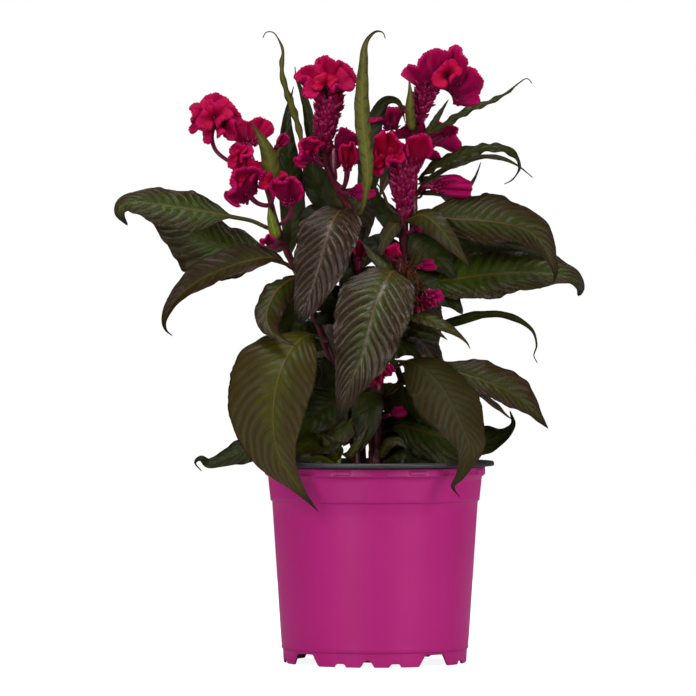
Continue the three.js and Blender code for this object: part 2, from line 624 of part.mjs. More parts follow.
// A ruffled fan (cone 90), or a rosette rolled into a cone of that half-angle about its axis.
// foot is where it starts and lean how far one end falls short, as shares of its size.
function crest({ at, axis, across = [1, 0, 0], size, spread, cone = 90, foot = CREST_FOOT,
  lean = 0, waves, seed }) {
  const up = vec(axis).normalize();
  const side = vec(across);
  side.addScaledVector(up, -side.dot(up)).normalize();
  const depth = up.clone().cross(side);
  const wind = meander(waves, SWING, seed);
  const flat = cone === 90;
  const reach = flat ? 1 : Math.sin(rad(cone));
  const arc = rad(spread);
  const surface = (u, v) => {
    const eased = Math.pow(Math.max(v, 0), CREST_EASE);
    const { along, off } = wind(u);
    const turn = (mix(u, along, eased) - 0.5) * arc;
    const edge = 1 - CREST_ROUND * Math.pow(2 * u - 1, 2) - lean * u * u;
    const r = size * mix(foot, edge, v);
    const offset = off * eased * size * arc * reach;
    const out = side.clone().multiplyScalar(Math.sin(turn));
    out.addScaledVector(flat ? up : depth, Math.cos(turn));
    if (flat) return vec(at).addScaledVector(out, r).addScaledVector(depth, offset);
    const cos = Math.cos(rad(cone));
    return vec(at)
      .addScaledVector(up, r * cos - offset * reach)
      .addScaledVector(out, r * reach + offset * cos);
  };
  const pitch = (size * arc * reach) / waves;
  const thick = Math.min(PETAL, CREST_CLOSE * pitch);
  // One row at each turn of the winding edge, and one at either end.
  const turns = Array.from({ length: 2 * waves }, (_, i) => (i + 0.5) / (2 * waves));
  const us = [0, ...turns, 1];
  const vs = size < 22 ? [0, 1] : [0, 0.6, 1];
  return sheet(surface, us, vs, (u, v) => thick * mix(0.4, 1, v));
}

// A column of small pointed florets round a core.
function column({ points, radii, florets }) {
  const curve = curveThrough(points);
  const radius = (t) => mix(radii[0], radii[1], t);
  const random = seeded(florets);
  const solids = [tube(curve, (t) => radius(t) * 0.8, 3, STALK_SIDES)];
  for (let i = 0; i < florets; i++) {
    const t = (i + 0.5) / florets;
    const angle = i * GOLDEN_ANGLE;
    const axis = curve.getTangentAt(t);
    const side = new THREE.Vector3(1, 0, 0).cross(axis).normalize();
    const other = axis.clone().cross(side);
    const out = side.multiplyScalar(Math.cos(angle)).addScaledVector(other, Math.sin(angle));
    const foot = curve.getPointAt(t).addScaledVector(out, radius(t) * 0.35);
    const long = radius(t) * 0.65 + FLORET * mix(0.8, 1.2, random());
    const spike = new THREE.ConeGeometry(mix(1.9, 2.6, random()), long, 3);
    spike.translate(0, long / 2, 0);
    const aim = out.clone().addScaledVector(axis, 0.55).normalize();
    const turn = new THREE.Quaternion().setFromUnitVectors(new THREE.Vector3(0, 1, 0), aim);
    spike.applyQuaternion(turn).translate(foot.x, foot.y, foot.z);
    solids.push(solidOf(spike));
  }
  return joined(solids);
}

// A crest's stalk, from the stem or from a point of its own, up into the heart of the crest.
function stalkOf(on, { at, axis, size, girth, from, via }) {
  const start = from ?? rootOn(on, vec(via[0])).toArray();
  const heart = vec(at).addScaledVector(vec(axis).normalize(), 0.25 * size).toArray();
  const points = [start, ...via, at, heart];
  return tube(curveThrough(points), () => girth, points.length, 5);
}

function bloom({ on, crests = [], columns = [] }) {
  const solids = columns.map(column);
  for (const each of crests) {
    solids.push(crest(each));
    if (each.via) solids.push(stalkOf(on, each));
  }
  return largest(joined(solids).subtract(stemTube(on, GAP)));
}

const BLOOMS = {
  bloom_top_right: {
    on: "branch_right",
    columns: [{ points: [[33, 13, 414], [36, 12, 428], [41, 10, 444]], radii: [4, 9],
      florets: 16 }],
    crests: [
      { at: [50, 8, 432], axis: [0.38, -0.1, 0.92], size: 44, spread: 155, foot: 0.18, lean: 0.4,
        waves: 6, seed: 2 },
      { at: [52, 9, 449], axis: [0.15, -0.8, 0.58], size: 18, spread: 320, cone: 36, waves: 3,
        seed: 4 },
    ],
  },
  bloom_top_centre: {
    on: "stem_centre",
    columns: [{ points: [[-41, 2, 392], [-38, 1, 412], [-35, 0, 436]], radii: [3.6, 12],
      florets: 18 }],
    crests: [
      { at: [-37, 2, 428], axis: [0, 0.05, 1], size: 38, spread: 95, waves: 4, seed: 5 },
      { at: [-38, -2, 434], axis: [0, -0.6, 0.8], size: 27, spread: 320, cone: 42, waves: 4,
        seed: 6 },
    ],
  },
  bloom_left: {
    on: "stem_left",
    crests: [
      { at: [-124, 1, 414], axis: [-0.05, -0.88, 0.45], size: 25, spread: 345, cone: 62,
        waves: 6, seed: 7, girth: 2.4,
        via: [[-92, 0, 383], [-97, -3, 384], [-110, -5, 389], [-119, -2, 400]] },
      { at: [-124, -1, 415], axis: [-0.05, -0.88, 0.45], size: 19, spread: 330, cone: 30,
        waves: 3, seed: 8 },
      { at: [-97, 8, 394], axis: [0, 0.1, 1], size: 27, spread: 95, waves: 4, seed: 9,
        girth: 2, from: [-93, 0, 383], via: [[-95, 5, 388]] },
      { at: [-100, -7, 388], axis: [-0.4, -0.9, 0.2], size: 12, spread: 320, cone: 52, waves: 3,
        seed: 10, girth: 1.6, from: [-95, -1, 384], via: [[-98, -4, 386]] },
    ],
  },
  bloom_left_low: {
    on: "stem_left",
    crests: [
      { at: [-103, 3, 363], axis: [-0.35, -0.9, 0.2], size: 16, spread: 330, cone: 52,
        waves: 5, seed: 11, girth: 1.8, via: [[-92, 2, 361]] },
    ],
  },
  bloom_left_mid: {
    on: "stem_left",
    crests: [
      { at: [-69, -11, 344], axis: [0, -0.55, 0.85], size: 26, spread: 320, cone: 38, waves: 4,
        seed: 13, girth: 2.2, via: [[-72, -6, 334]] },
    ],
  },
  bloom_centre_left: {
    on: "stem_centre",
    crests: [
      { at: [-54, -4, 386], axis: [-0.1, -0.25, 1], size: 24, spread: 60, waves: 2, seed: 14,
        girth: 1.8, via: [[-44, 0, 379]] },
    ],
  },
  bloom_centre: {
    on: "stem_centre",
    crests: [
      { at: [-20, -8, 372], axis: [0, 0.15, 1], size: 31, spread: 38, waves: 2, seed: 15,
        girth: 1.8, via: [[-24, -4, 366]] },
      { at: [-17, -9, 362], axis: [0.2, -0.97, 0.1], size: 12, spread: 320, cone: 55, waves: 4,
        seed: 16, girth: 1.6, from: [-22, -6, 369], via: [[-20, -8, 365]] },
    ],
  },
  bloom_mid: {
    on: "stem_main",
    columns: [{ points: [[22, -2, 341], [22, -3, 358], [23, -4, 388]], radii: [3.8, 12],
      florets: 19 }],
    crests: [
      { at: [14, -4, 383], axis: [-0.15, -0.75, 0.65], size: 20, spread: 330, cone: 50,
        waves: 4, seed: 17 },
      { at: [34, -4, 384], axis: [0.2, -0.65, 0.75], size: 18, spread: 325, cone: 48, waves: 4,
        seed: 18 },
    ],
  },
  bloom_side: {
    on: "branch_right",
    crests: [
      { at: [38, 12, 364], axis: [1, -0.1, 0.12], across: [0, 0, 1], size: 32, spread: 32,
        waves: 2, seed: 20, girth: 1.8, via: [[34, 15, 362]] },
    ],
  },
  bloom_bud_right: {
    on: "branch_right",
    crests: [
      { at: [50, 19, 405], axis: [0.6, -0.2, 0.75], size: 16, spread: 80, waves: 2, seed: 35,
        girth: 1.6, via: [[42, 20, 402]] },
    ],
  },
  bloom_behind: {
    on: "branch_right",
    crests: [
      { at: [15, 29, 404], axis: [-0.06, 0.12, 1], size: 31, spread: 42, waves: 2, seed: 22,
        girth: 1.8, via: [[23, 25, 393]] },
    ],
  },
  bloom_low_1: {
    on: "stem_main",
    crests: [
      { at: [12, -7, 311], axis: [0.1, -0.5, 1], size: 10, spread: 130, waves: 2, seed: 23,
        girth: 1.5, via: [[16, -4, 309]] },
    ],
  },
  bloom_low_2: {
    on: "stem_main",
    crests: [
      { at: [30, -9, 305], axis: [1, -0.4, 0.1], across: [0, 0, 1], size: 16, spread: 50,
        waves: 2, seed: 24, girth: 1.5, via: [[26, -7, 304]] },
    ],
  },
  bloom_low_3: {
    on: "stem_main",
    crests: [
      { at: [29, -8, 333], axis: [0.8, -0.5, 0.4], across: [0, 0, 1], size: 11, spread: 80,
        waves: 2, seed: 25, girth: 1.5, via: [[26, -5, 331]] },
    ],
  },
  bloom_spray: {
    on: "stem_main",
    columns: [{ points: [[15, -3, 275], [30, -9, 276], [44, -13, 281]], radii: [2.2, 4.5],
      florets: 12 }],
    crests: [
      { at: [40, -12, 279], axis: [0.9, -0.3, 0.4], across: [0, 0.2, 1], size: 13, spread: 80,
        waves: 2, seed: 26 },
    ],
  },
  bloom_inner: {
    on: "stem_centre",
    crests: [
      { at: [-13, -2, 304], axis: [0.1, -0.1, 1], size: 22, spread: 40, waves: 2, seed: 27,
        girth: 1.6, via: [[-13, 4, 300]] },
    ],
  },
  bloom_gap: {
    on: "stem_main",
    crests: [
      { at: [3, -10, 218], axis: [0.3, -0.9, 0.3], across: [-0.75, 0, -0.65], size: 15,
        spread: 130, waves: 3, seed: 28, girth: 1.6, via: [[4, -8, 217]] },
    ],
  },
  bloom_foot: {
    on: "stem_main",
    crests: [
      { at: [10, -9, 190], axis: [0.9, -0.3, 0.4], across: [0, 0, 1], size: 14, spread: 60,
        waves: 2, seed: 29, girth: 1.5, via: [[6, -6, 188]] },
    ],
  },
  bloom_far_left: {
    on: "stem_left",
    crests: [
      { at: [-79, -6, 321], axis: [-0.7, -0.6, 0.2], size: 10, spread: 150, waves: 3, seed: 30,
        girth: 1.5, via: [[-76, -4, 321]] },
    ],
  },
  bloom_back_1: {
    on: "stem_centre",
    crests: [
      { at: [-32, 36, 392], axis: [0, 0.6, 0.8], size: 22, spread: 330, cone: 50, waves: 5,
        seed: 31, girth: 2.2, via: [[-31, 18, 374], [-32, 30, 384]] },
    ],
  },
  bloom_back_2: {
    on: "branch_right",
    crests: [
      { at: [40, 44, 400], axis: [0.1, 0.6, 0.8], size: 24, spread: 330, cone: 50, waves: 5,
        seed: 32, girth: 2.4, via: [[34, 28, 383], [38, 38, 392]] },
    ],
  },
};

// ---- the whole plant ----
const PAINT = {
  magenta: { color: 0xa82572, roughness: 0.45, metalness: 0 },
  black: { color: 0x17171a, roughness: 0.5, metalness: 0 },
  soil: { color: 0x2e211a, roughness: 1, metalness: 0 },
  stem: { color: 0x6d1a2c, roughness: 0.5, metalness: 0 },
  leaf: { color: 0x3f4a24, roughness: 0.4, metalness: 0 },
  bloom: { color: 0xb0114b, roughness: 0.7, metalness: 0 },
};

const plant = new THREE.Group();

function place(name, solid, paint) {
  const material = new THREE.MeshStandardMaterial(PAINT[paint]);
  const mesh = new THREE.Mesh(geometryOf(solid), material);
  mesh.name = name;
  plant.add(mesh);
}

place("outer_pot", outerPot(), "magenta");
place("inner_pot", innerPot(), "black");

const bracts = (name) => [
  ...BRACTS[name].map((each) => leaf({ ...each, petiole: 0.02, wave: 0 }, false)),
  ...BACK_BRACTS[name].map((each) => leaf({ ...backLeaf(each), petiole: 0.05, wave: 0 }, false)),
];
const trunk = joined([stemTube("stem_main"), stemTube("branch_right"), ...bracts("stem_main")]);
const stems = { stem_main: trunk };
for (const name of ["stem_centre", "stem_left", "shoot"])
  stems[name] = joined([stemTube(name), ...bracts(name)]);

const holes = ["stem_main", "stem_centre", "stem_left", "shoot"].map((name) => stemTube(name, GAP));
place("soil", largest(soilPlug().subtract(joined(holes))), "soil");
for (const [name, solid] of Object.entries(stems)) place(name, solid, "stem");
for (const [name, each] of Object.entries(LEAVES)) place(name, leaf(each), "leaf");
for (const [name, each] of Object.entries(BACK_LEAVES)) place(name, leaf(backLeaf(each)), "leaf");
for (const [name, each] of Object.entries(BLOOMS)) place(name, bloom(each), "bloom");

export default plant;
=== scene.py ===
import bisect
import math

import bmesh
import bpy
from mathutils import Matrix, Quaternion, Vector, noise


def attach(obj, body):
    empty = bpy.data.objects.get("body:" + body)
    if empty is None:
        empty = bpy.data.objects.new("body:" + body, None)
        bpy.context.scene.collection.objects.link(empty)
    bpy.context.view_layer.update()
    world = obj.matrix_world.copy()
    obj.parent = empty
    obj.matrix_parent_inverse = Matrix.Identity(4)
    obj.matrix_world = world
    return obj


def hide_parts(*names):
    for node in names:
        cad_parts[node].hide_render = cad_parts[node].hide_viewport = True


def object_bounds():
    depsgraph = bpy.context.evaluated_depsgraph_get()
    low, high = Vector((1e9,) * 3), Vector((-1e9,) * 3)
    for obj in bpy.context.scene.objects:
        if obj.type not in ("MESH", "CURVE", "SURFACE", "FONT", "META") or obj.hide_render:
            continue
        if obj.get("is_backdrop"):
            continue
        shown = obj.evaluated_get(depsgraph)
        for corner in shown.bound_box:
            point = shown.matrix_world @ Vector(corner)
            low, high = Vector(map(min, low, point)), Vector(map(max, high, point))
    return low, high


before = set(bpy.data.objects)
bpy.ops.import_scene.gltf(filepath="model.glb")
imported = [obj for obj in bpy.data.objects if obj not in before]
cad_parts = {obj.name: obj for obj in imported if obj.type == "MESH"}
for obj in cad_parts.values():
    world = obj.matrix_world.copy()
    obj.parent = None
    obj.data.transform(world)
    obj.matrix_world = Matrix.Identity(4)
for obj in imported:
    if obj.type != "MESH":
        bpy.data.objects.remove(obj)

CAD_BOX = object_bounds()
MM = 0.001
UP = Vector((0, 0, 1))
CURVE_STEPS = 24  # samples between two points of a curve
FRAME_STEPS = 60  # frames along a leaf or a stem
SHARP = math.radians(38)  # edges that turn more than this stay crisp
MERGE = 0.002  # points that lie nearer than this become one

# ---- the pots ----
POT_HEIGHT = 151
RIM_RADIUS = 85
RIM_BOTTOM = 144
COLLAR_RADIUS = 82.4
COLLAR_BOTTOM = 124.5
STEP_RADIUS = 79.35
BASE_RADIUS = 71.9
SKIRT_HEIGHT = 11
SKIRT_RADIUS = 70.4
WALL = 1.6
FLOOR_UNDERSIDE = 9.5
FOOT_RADIUS = 14
PANEL_START = 2.4  # degrees from the front to the middle of a rim panel
PANEL_STEP = 20
PANEL_DEPTH = 0.8
PANEL_HALF = 4.5  # degrees from the middle of a deeper panel to its edge
LIP_RADIUS = 92
LIP_TOP = 155
LINER_WALL = 1.2
GAP = 0.3
LINER_FLOOR = FLOOR_UNDERSIDE + WALL + GAP
LINER_BASE_RADIUS = BASE_RADIUS - WALL - 1.2
LINER_TOP_RADIUS = COLLAR_RADIUS - WALL - 1.2
LINER_STEP_RADIUS = STEP_RADIUS - WALL - 1.2
LINER_STEP = COLLAR_BOTTOM - 1
SOIL_TOP = 142
SOIL_MOUND = 5

# ---- the plant ----
BLADE = 0.55  # leaf thickness
PETAL = 2.9  # crest thickness at its edge
SWING = 1.35  # how far, in radians, a crest's edge turns off its course
GOLDEN_ANGLE = 2.39996
FLORET_COVER = 8  # square millimetres of a spike to one floret
SLENDER = 10  # half-width under which a blade has no petiole
WAVES = 3.5  # slow waves along a blade
FRILLS = 9  # quick waves along its margin
VEIN_STEP = 8  # millimetres of blade to a pair of side veins
CREST_FOLDING = 1.75  # length of a crest's folded edge over that of its course
CREST_ROW = 0.75  # millimetres of a crest's edge to a row
RUFFLE_STEP = 10  # millimetres of a crest's edge to a small ruffle
HEART = 0.62  # size and cone of the small heart in a rosette, over the rosette's own
FLANKED = 15  # size from which a crest has florets on its flanks


def mix(a, b, t):
    return a + (b - a) * t


def clamp(t, low=0.0, high=1.0):
    return max(low, min(high, t))


def ease(t, start, end):
    """A smooth step from 0 at start to 1 at end."""
    t = clamp((t - start) / (end - start))
    return t * t * (3 - 2 * t)


def seeded(seed):
    """A repeatable stream of numbers from 0 to 1."""
    mask = 0xFFFFFFFF
    state = (seed * 2654435761) & mask

    def draw():
        nonlocal state
        state = (((state ^ (state >> 15)) * 2246822519) + 3266489917) & mask
        return (state ^ (state >> 13)) / 4294967296

    return draw


# ---- curves and frames ----
def bend(knots, t):
    """A point between the two middle knots of four, on a centripetal spline."""
    a, b, c, d = knots
    before, between, after = (
        max((q - p).length, 1e-4) ** 0.5 for p, q in ((a, b), (b, c), (c, d))
    )
    leave = (b - a) / before - (c - a) / (before + between) + (c - b) / between
    arrive = (c - b) / between - (d - b) / (between + after) + (d - c) / after
    leave *= between
    arrive *= between
    return (
        b
        + leave * t
        + (3 * (c - b) - 2 * leave - arrive) * t * t
        + (2 * (b - c) + leave + arrive) * t * t * t
    )


class Line:
    """A smooth line through given points, measured in shares of its length."""

    def __init__(self, points):
        knots = [Vector(p) for p in points]
        knots = [2 * knots[0] - knots[1], *knots, 2 * knots[-1] - knots[-2]]
        self.places = [
            bend(knots[i : i + 4], k / CURVE_STEPS)
            for i in range(len(points) - 1)
            for k in range(CURVE_STEPS)
        ]
        self.places.append(knots[-2])
        self.marks = [0.0]
        for a, b in zip(self.places, self.places[1:]):
            self.marks.append(self.marks[-1] + (b - a).length)
        self.length = self.marks[-1]

    def at(self, share):
        mark = clamp(share) * self.length
        i = clamp(bisect.bisect_right(self.marks, mark), 1, len(self.marks) - 1)
        low, high = self.marks[i - 1], self.marks[i]
        return self.places[i - 1].lerp(self.places[i], (mark - low) / max(high - low, 1e-9))

    def heading(self, share):
        step = 0.004
        return (self.at(share + step) - self.at(share - step)).normalized()

    def nearest(self, target):
        return min((self.at(i / 400) for i in range(401)), key=lambda p: (p - target).length)


class Frames:
    """Frames along a line that turn as little as they can; the normal is near face halfway."""

    def __init__(self, line, face):
        self.line = line
        self.tangents = [line.heading(i / FRAME_STEPS) for i in range(FRAME_STEPS + 1)]
        self.normals = [None] * (FRAME_STEPS + 1)
        middle = FRAME_STEPS // 2
        self.normals[middle] = self.square(Vector(face), middle)
        for i in range(middle + 1, FRAME_STEPS + 1):
            self.normals[i] = self.turned(i - 1, i)
        for i in range(middle - 1, -1, -1):
            self.normals[i] = self.turned(i + 1, i)

    def square(self, normal, i):
        tangent = self.tangents[i]
        return (normal - tangent * normal.dot(tangent)).normalized()

    def turned(self, old, new):
        turn = self.tangents[old].rotation_difference(self.tangents[new])
        return self.square(turn @ self.normals[old], new)

    def at(self, share):
        """The place, the side, and the normal at a share of the length."""
        place = clamp(share) * FRAME_STEPS
        low = min(int(place), FRAME_STEPS - 1)
        tangent = self.tangents[low].lerp(self.tangents[low + 1], place - low).normalized()
        normal = self.normals[low].lerp(self.normals[low + 1], place - low).normalized()
        return self.line.at(share), tangent.cross(normal), normal


# ---- making pieces ----
def finish_piece(name, bm, materials, slot, *nodes):
    """Makes a bmesh in millimetres a piece of the plant, which stands for CAD nodes."""
    for face in bm.faces:
        face.smooth = True
    for edge in bm.edges:
        edge.smooth = not (len(edge.link_faces) == 2 and edge.calc_face_angle(0) > SHARP)
    bmesh.ops.scale(bm, vec=(MM, MM, MM), verts=bm.verts)
    mesh = bpy.data.meshes.new(name)
    bm.to_mesh(mesh)
    bm.free()
    for material in materials:
        mesh.materials.append(material)
    piece = bpy.data.objects.new(name, mesh)
    bpy.context.scene.collection.objects.link(piece)
    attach(piece, "root")
    if nodes:
        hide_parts(*nodes)
    return piece


def wrapped(bm, rows, around, place, marks, under=None):
    """Adds a closed skin: a grid with its columns once round and its end rows drawn together.

    place(i, k) gives a point of row i and column k, and marks(i, k) a pair for each UV map.
    Faces whose column is at least under take the second material.
    """
    layers = [bm.loops.layers.uv[key] for key in ("blade", "veins")]
    made = bmesh.ops.create_grid(bm, x_segments=rows, y_segments=around, size=0.5)["verts"]
    spots = {
        vert: (round((vert.co.x + 0.5) * rows), round((vert.co.y + 0.5) * around))
        for vert in made
    }
    faces = {face for vert in made for face in vert.link_faces}
    for face in faces:
        if under is not None and min(spots[v][1] for v in face.verts) >= under:
            face.material_index = 1
        for loop in face.loops:
            for layer, pair in zip(layers, marks(*spots[loop.vert])):
                loop[layer].uv = pair
    for vert, (i, k) in spots.items():
        vert.co = place(i, k % around)
    bmesh.ops.remove_doubles(bm, verts=made, dist=MERGE)
    bmesh.ops.recalc_face_normals(bm, faces=[face for face in faces if face.is_valid])


# ---- materials ----
def linear(code):
    """An sRGB hex colour as linear RGBA."""
    values = [int(code[i : i + 2], 16) / 255 for i in (0, 2, 4)]
    return (*[v / 12.92 if v <= 0.04045 else ((v + 0.055) / 1.055) ** 2.4 for v in values], 1)


def add(tree, kind, settings=None, inputs=None):
    """Adds a node with its settings; an input is a value or a socket to link from."""
    node = tree.nodes.new(kind)
    for key, value in (settings or {}).items():
        setattr(node, key, value)
    for key, value in (inputs or {}).items():
        if isinstance(value, bpy.types.NodeSocket):
            tree.links.new(value, node.inputs[key])
        else:
            node.inputs[key].default_value = value
    return node


def start_material(name):
    """A new material: its tree and its Principled shader."""
    material = bpy.data.materials.new(name)
    material.use_nodes = True
    tree = material.node_tree
    tree.nodes.clear()
    shader = add(tree, "ShaderNodeBsdfPrincipled")
    add(tree, "ShaderNodeOutputMaterial", inputs={"Surface": shader.outputs[0]})
    return material, tree, shader


PICK = {"data_type": "RGBA"}  # a Mix node for colours: factor 0, colours 6 and 7, result 2
SMOOTH = {"interpolation_type": "SMOOTHSTEP"}


def leaf_material(name, green, bronze, crown, line, rib, rough, shine, reach):
    """A leaf's upper side, from its green heart out to its bronze margin.

    crown is a painted sheen: the paler tone between two side veins, where light would catch the
    crown. line is that of the veins and the edge, rib that of the midrib, rough its roughness,
    shine its specular level, and reach how far out the green goes.
    """
    material, tree, shader = start_material(name)
    blade = add(tree, "ShaderNodeUVMap", {"uv_map": "blade"}).outputs[0]
    veins = add(tree, "ShaderNodeUVMap", {"uv_map": "veins"}).outputs[0]
    spots = add(tree, "ShaderNodeTexCoord").outputs["Object"]
    where = add(tree, "ShaderNodeSeparateXYZ", inputs={0: blade})
    phase = add(tree, "ShaderNodeSeparateXYZ", inputs={0: veins})
    # blotches about 12 mm across
    blotch = add(tree, "ShaderNodeTexNoise", inputs={"Vector": spots, "Scale": 85.0,
        "Detail": 4.0, "Roughness": 0.6}).outputs[0]
    # feathering that runs out along the side veins
    combed = add(tree, "ShaderNodeMapping", inputs={"Vector": veins,
        "Scale": (2.6, 0.5, 1.0)}).outputs[0]
    feather = add(tree, "ShaderNodeTexNoise", inputs={"Vector": combed, "Scale": 1.0,
        "Detail": 3.0, "Roughness": 0.55}).outputs[0]
    # across: 0 on the midrib to 1 at the margin
    centred = add(tree, "ShaderNodeMath", {"operation": "SUBTRACT"},
        {0: where.outputs[1], 1: 0.5}).outputs[0]
    halved = add(tree, "ShaderNodeMath", {"operation": "ABSOLUTE"}, {0: centred}).outputs[0]
    across = add(tree, "ShaderNodeMath", {"operation": "MULTIPLY"}, {0: halved, 1: 2.0}).outputs[0]
    # how far from green to bronze: outwards, towards the tip, and uneven
    onward = add(tree, "ShaderNodeMath", {"operation": "MULTIPLY_ADD"},
        {0: where.outputs[0], 1: 0.7, 2: across}).outputs[0]
    uneven = add(tree, "ShaderNodeMath", {"operation": "ADD"}, {0: blotch, 1: feather}).outputs[0]
    ageing = add(tree, "ShaderNodeMath", {"operation": "MULTIPLY_ADD"},
        {0: uneven, 1: 1.1, 2: onward}).outputs[0]
    age = add(tree, "ShaderNodeMapRange", SMOOTH, {"Value": ageing, "From Min": reach + 0.85,
        "From Max": reach + 1.75}).outputs[0]
    ground = add(tree, "ShaderNodeMix", PICK, {0: age, 6: linear(green), 7: linear(bronze)})
    # side veins lie where the phase is a whole number, and a painted sheen makes the crown between
    # two of them paler
    turned = add(tree, "ShaderNodeMath", {"operation": "PINGPONG"},
        {0: phase.outputs[0], 1: 0.5}).outputs[0]
    ridge = add(tree, "ShaderNodeMapRange", SMOOTH, {"Value": turned, "From Min": 0.05,
        "From Max": 0.5}).outputs[0]
    stirred = add(tree, "ShaderNodeMath", {"operation": "MULTIPLY"},
        {0: ridge, 1: feather}).outputs[0]
    # painted sheen: up to about half of the crown tone is laid over the crowns
    sheen_share = add(tree, "ShaderNodeMath", {"operation": "MULTIPLY"},
        {0: stirred, 1: 0.55}).outputs[0]
    crown_sheened = add(tree, "ShaderNodeMix", PICK, {0: sheen_share, 6: ground.outputs[2],
        7: linear(crown)})
    # the sunk veins take the darker line tone: partly their own colour, partly painted shade in
    # their grooves
    incised = add(tree, "ShaderNodeMapRange", SMOOTH, {"Value": turned, "From Min": 0.08,
        "From Max": 0.01}).outputs[0]
    vein_tone_and_shade = add(tree, "ShaderNodeMath", {"operation": "MULTIPLY"},
        {0: incised, 1: 0.32}).outputs[0]
    veined = add(tree, "ShaderNodeMix", PICK, {0: vein_tone_and_shade, 6: crown_sheened.outputs[2], 7: linear(line)})
    # a net of small veins, about 2.2 mm to a mesh
    net = add(tree, "ShaderNodeTexVoronoi", {"feature": "DISTANCE_TO_EDGE"},
        {"Vector": spots, "Scale": 450.0}).outputs[0]
    mesh_line = add(tree, "ShaderNodeMapRange", SMOOTH, {"Value": net, "From Min": 0.14,
        "From Max": 0.0}).outputs[0]
    mesh_tone = add(tree, "ShaderNodeMath", {"operation": "MULTIPLY"},
        {0: mesh_line, 1: 0.14}).outputs[0]
    netted = add(tree, "ShaderNodeMix", PICK, {0: mesh_tone, 6: veined.outputs[2],
        7: linear(line)})
    # a dark margin, and the midrib by its width in centimetres
    border = add(tree, "ShaderNodeMapRange", SMOOTH, {"Value": across, "From Min": 0.94,
        "From Max": 0.99}).outputs[0]
    edged = add(tree, "ShaderNodeMix", PICK, {0: border, 6: netted.outputs[2],
        7: linear(line)})
    apart = add(tree, "ShaderNodeMath", {"operation": "ABSOLUTE"},
        {0: phase.outputs[1]}).outputs[0]
    narrow = add(tree, "ShaderNodeMapRange", inputs={"Value": where.outputs[0], "To Min": 0.1,
        "To Max": 0.02}).outputs[0]
    beside = add(tree, "ShaderNodeMath", {"operation": "DIVIDE"}, {0: apart, 1: narrow}).outputs[0]
    midrib = add(tree, "ShaderNodeMapRange", SMOOTH, {"Value": beside, "From Min": 1.1,
        "From Max": 0.5}).outputs[0]
    fading = add(tree, "ShaderNodeMapRange", inputs={"Value": where.outputs[0],
        "To Min": 0.9, "To Max": 0.3}).outputs[0]
    faded = add(tree, "ShaderNodeMath", {"operation": "MULTIPLY"}, {0: midrib, 1: fading}).outputs[0]
    whole = add(tree, "ShaderNodeMix", PICK, {0: faded, 6: edged.outputs[2], 7: linear(rib)})
    # the last of the tip is dry and dark
    dry = add(tree, "ShaderNodeMapRange", SMOOTH, {"Value": where.outputs[0], "From Min": 0.86,
        "From Max": 0.98}).outputs[0]
    tipped = add(tree, "ShaderNodeMix", PICK, {0: dry, 6: whole.outputs[2], 7: linear(line)})
    tree.links.new(tipped.outputs[2], shader.inputs["Base Color"])
    dulled = add(tree, "ShaderNodeMapRange", inputs={"Value": feather, "From Min": 0.3,
        "From Max": 0.7, "To Min": rough - 0.06, "To Max": rough + 0.08}).outputs[0]
    tree.links.new(dulled, shader.inputs["Roughness"])
    shader.inputs["Specular IOR Level"].default_value = shine
    # relief: the net and the veins sink, with wrinkles between them and a grain of 0.4 mm
    grain = add(tree, "ShaderNodeTexNoise", inputs={"Vector": spots, "Scale": 2400.0}).outputs[0]
    sunk = add(tree, "ShaderNodeMath", {"operation": "MULTIPLY_ADD"},
        {0: mesh_line, 1: -0.5, 2: grain}).outputs[0]
    wrinkled = add(tree, "ShaderNodeMath", {"operation": "MULTIPLY_ADD"},
        {0: feather, 1: 1.2, 2: sunk}).outputs[0]
    relief = add(tree, "ShaderNodeMath", {"operation": "SUBTRACT"},
        {0: wrinkled, 1: incised}).outputs[0]
    bump = add(tree, "ShaderNodeBump", inputs={"Height": relief, "Strength": 0.35,
        "Distance": 0.0003})
    tree.links.new(bump.outputs[0], shader.inputs["Normal"])
    return material


def underside_material():
    """A leaf's underside: matt, purplish grey, which shows where a blade rolls over."""
    material, tree, shader = start_material("leaf_underside_matt")
    spots = add(tree, "ShaderNodeTexCoord").outputs["Object"]
    veins = add(tree, "ShaderNodeUVMap", {"uv_map": "veins"}).outputs[0]
    phase = add(tree, "ShaderNodeSeparateXYZ", inputs={0: veins})
    turned = add(tree, "ShaderNodeMath", {"operation": "PINGPONG"},
        {0: phase.outputs[0], 1: 0.5}).outputs[0]
    vein = add(tree, "ShaderNodeMapRange", SMOOTH, {"Value": turned, "From Min": 0.1,
        "From Max": 0.02}).outputs[0]
    apart = add(tree, "ShaderNodeMath", {"operation": "ABSOLUTE"},
        {0: phase.outputs[1]}).outputs[0]
    midrib = add(tree, "ShaderNodeMapRange", SMOOTH, {"Value": apart, "From Min": 0.12,
        "From Max": 0.06}).outputs[0]
    both = add(tree, "ShaderNodeMath", {"operation": "MAXIMUM"}, {0: vein, 1: midrib}).outputs[0]
    blotch = add(tree, "ShaderNodeTexNoise", inputs={"Vector": spots, "Scale": 120.0,
        "Detail": 3.0}).outputs[0]
    ground = add(tree, "ShaderNodeMix", PICK, {0: blotch, 6: linear("3F4526"),
        7: linear("4A3A30")})
    veined = add(tree, "ShaderNodeMix", PICK, {0: both, 6: ground.outputs[2],
        7: linear("7A4A42")})
    tree.links.new(veined.outputs[2], shader.inputs["Base Color"])
    shader.inputs["Roughness"].default_value = 0.5
    shader.inputs["Specular IOR Level"].default_value = 0.25
    net = add(tree, "ShaderNodeTexVoronoi", {"feature": "DISTANCE_TO_EDGE"},
        {"Vector": spots, "Scale": 420.0}).outputs[0]
    bump = add(tree, "ShaderNodeBump", inputs={"Height": net, "Strength": 0.4,
        "Distance": 0.0003})
    tree.links.new(bump.outputs[0], shader.inputs["Normal"])
    return material


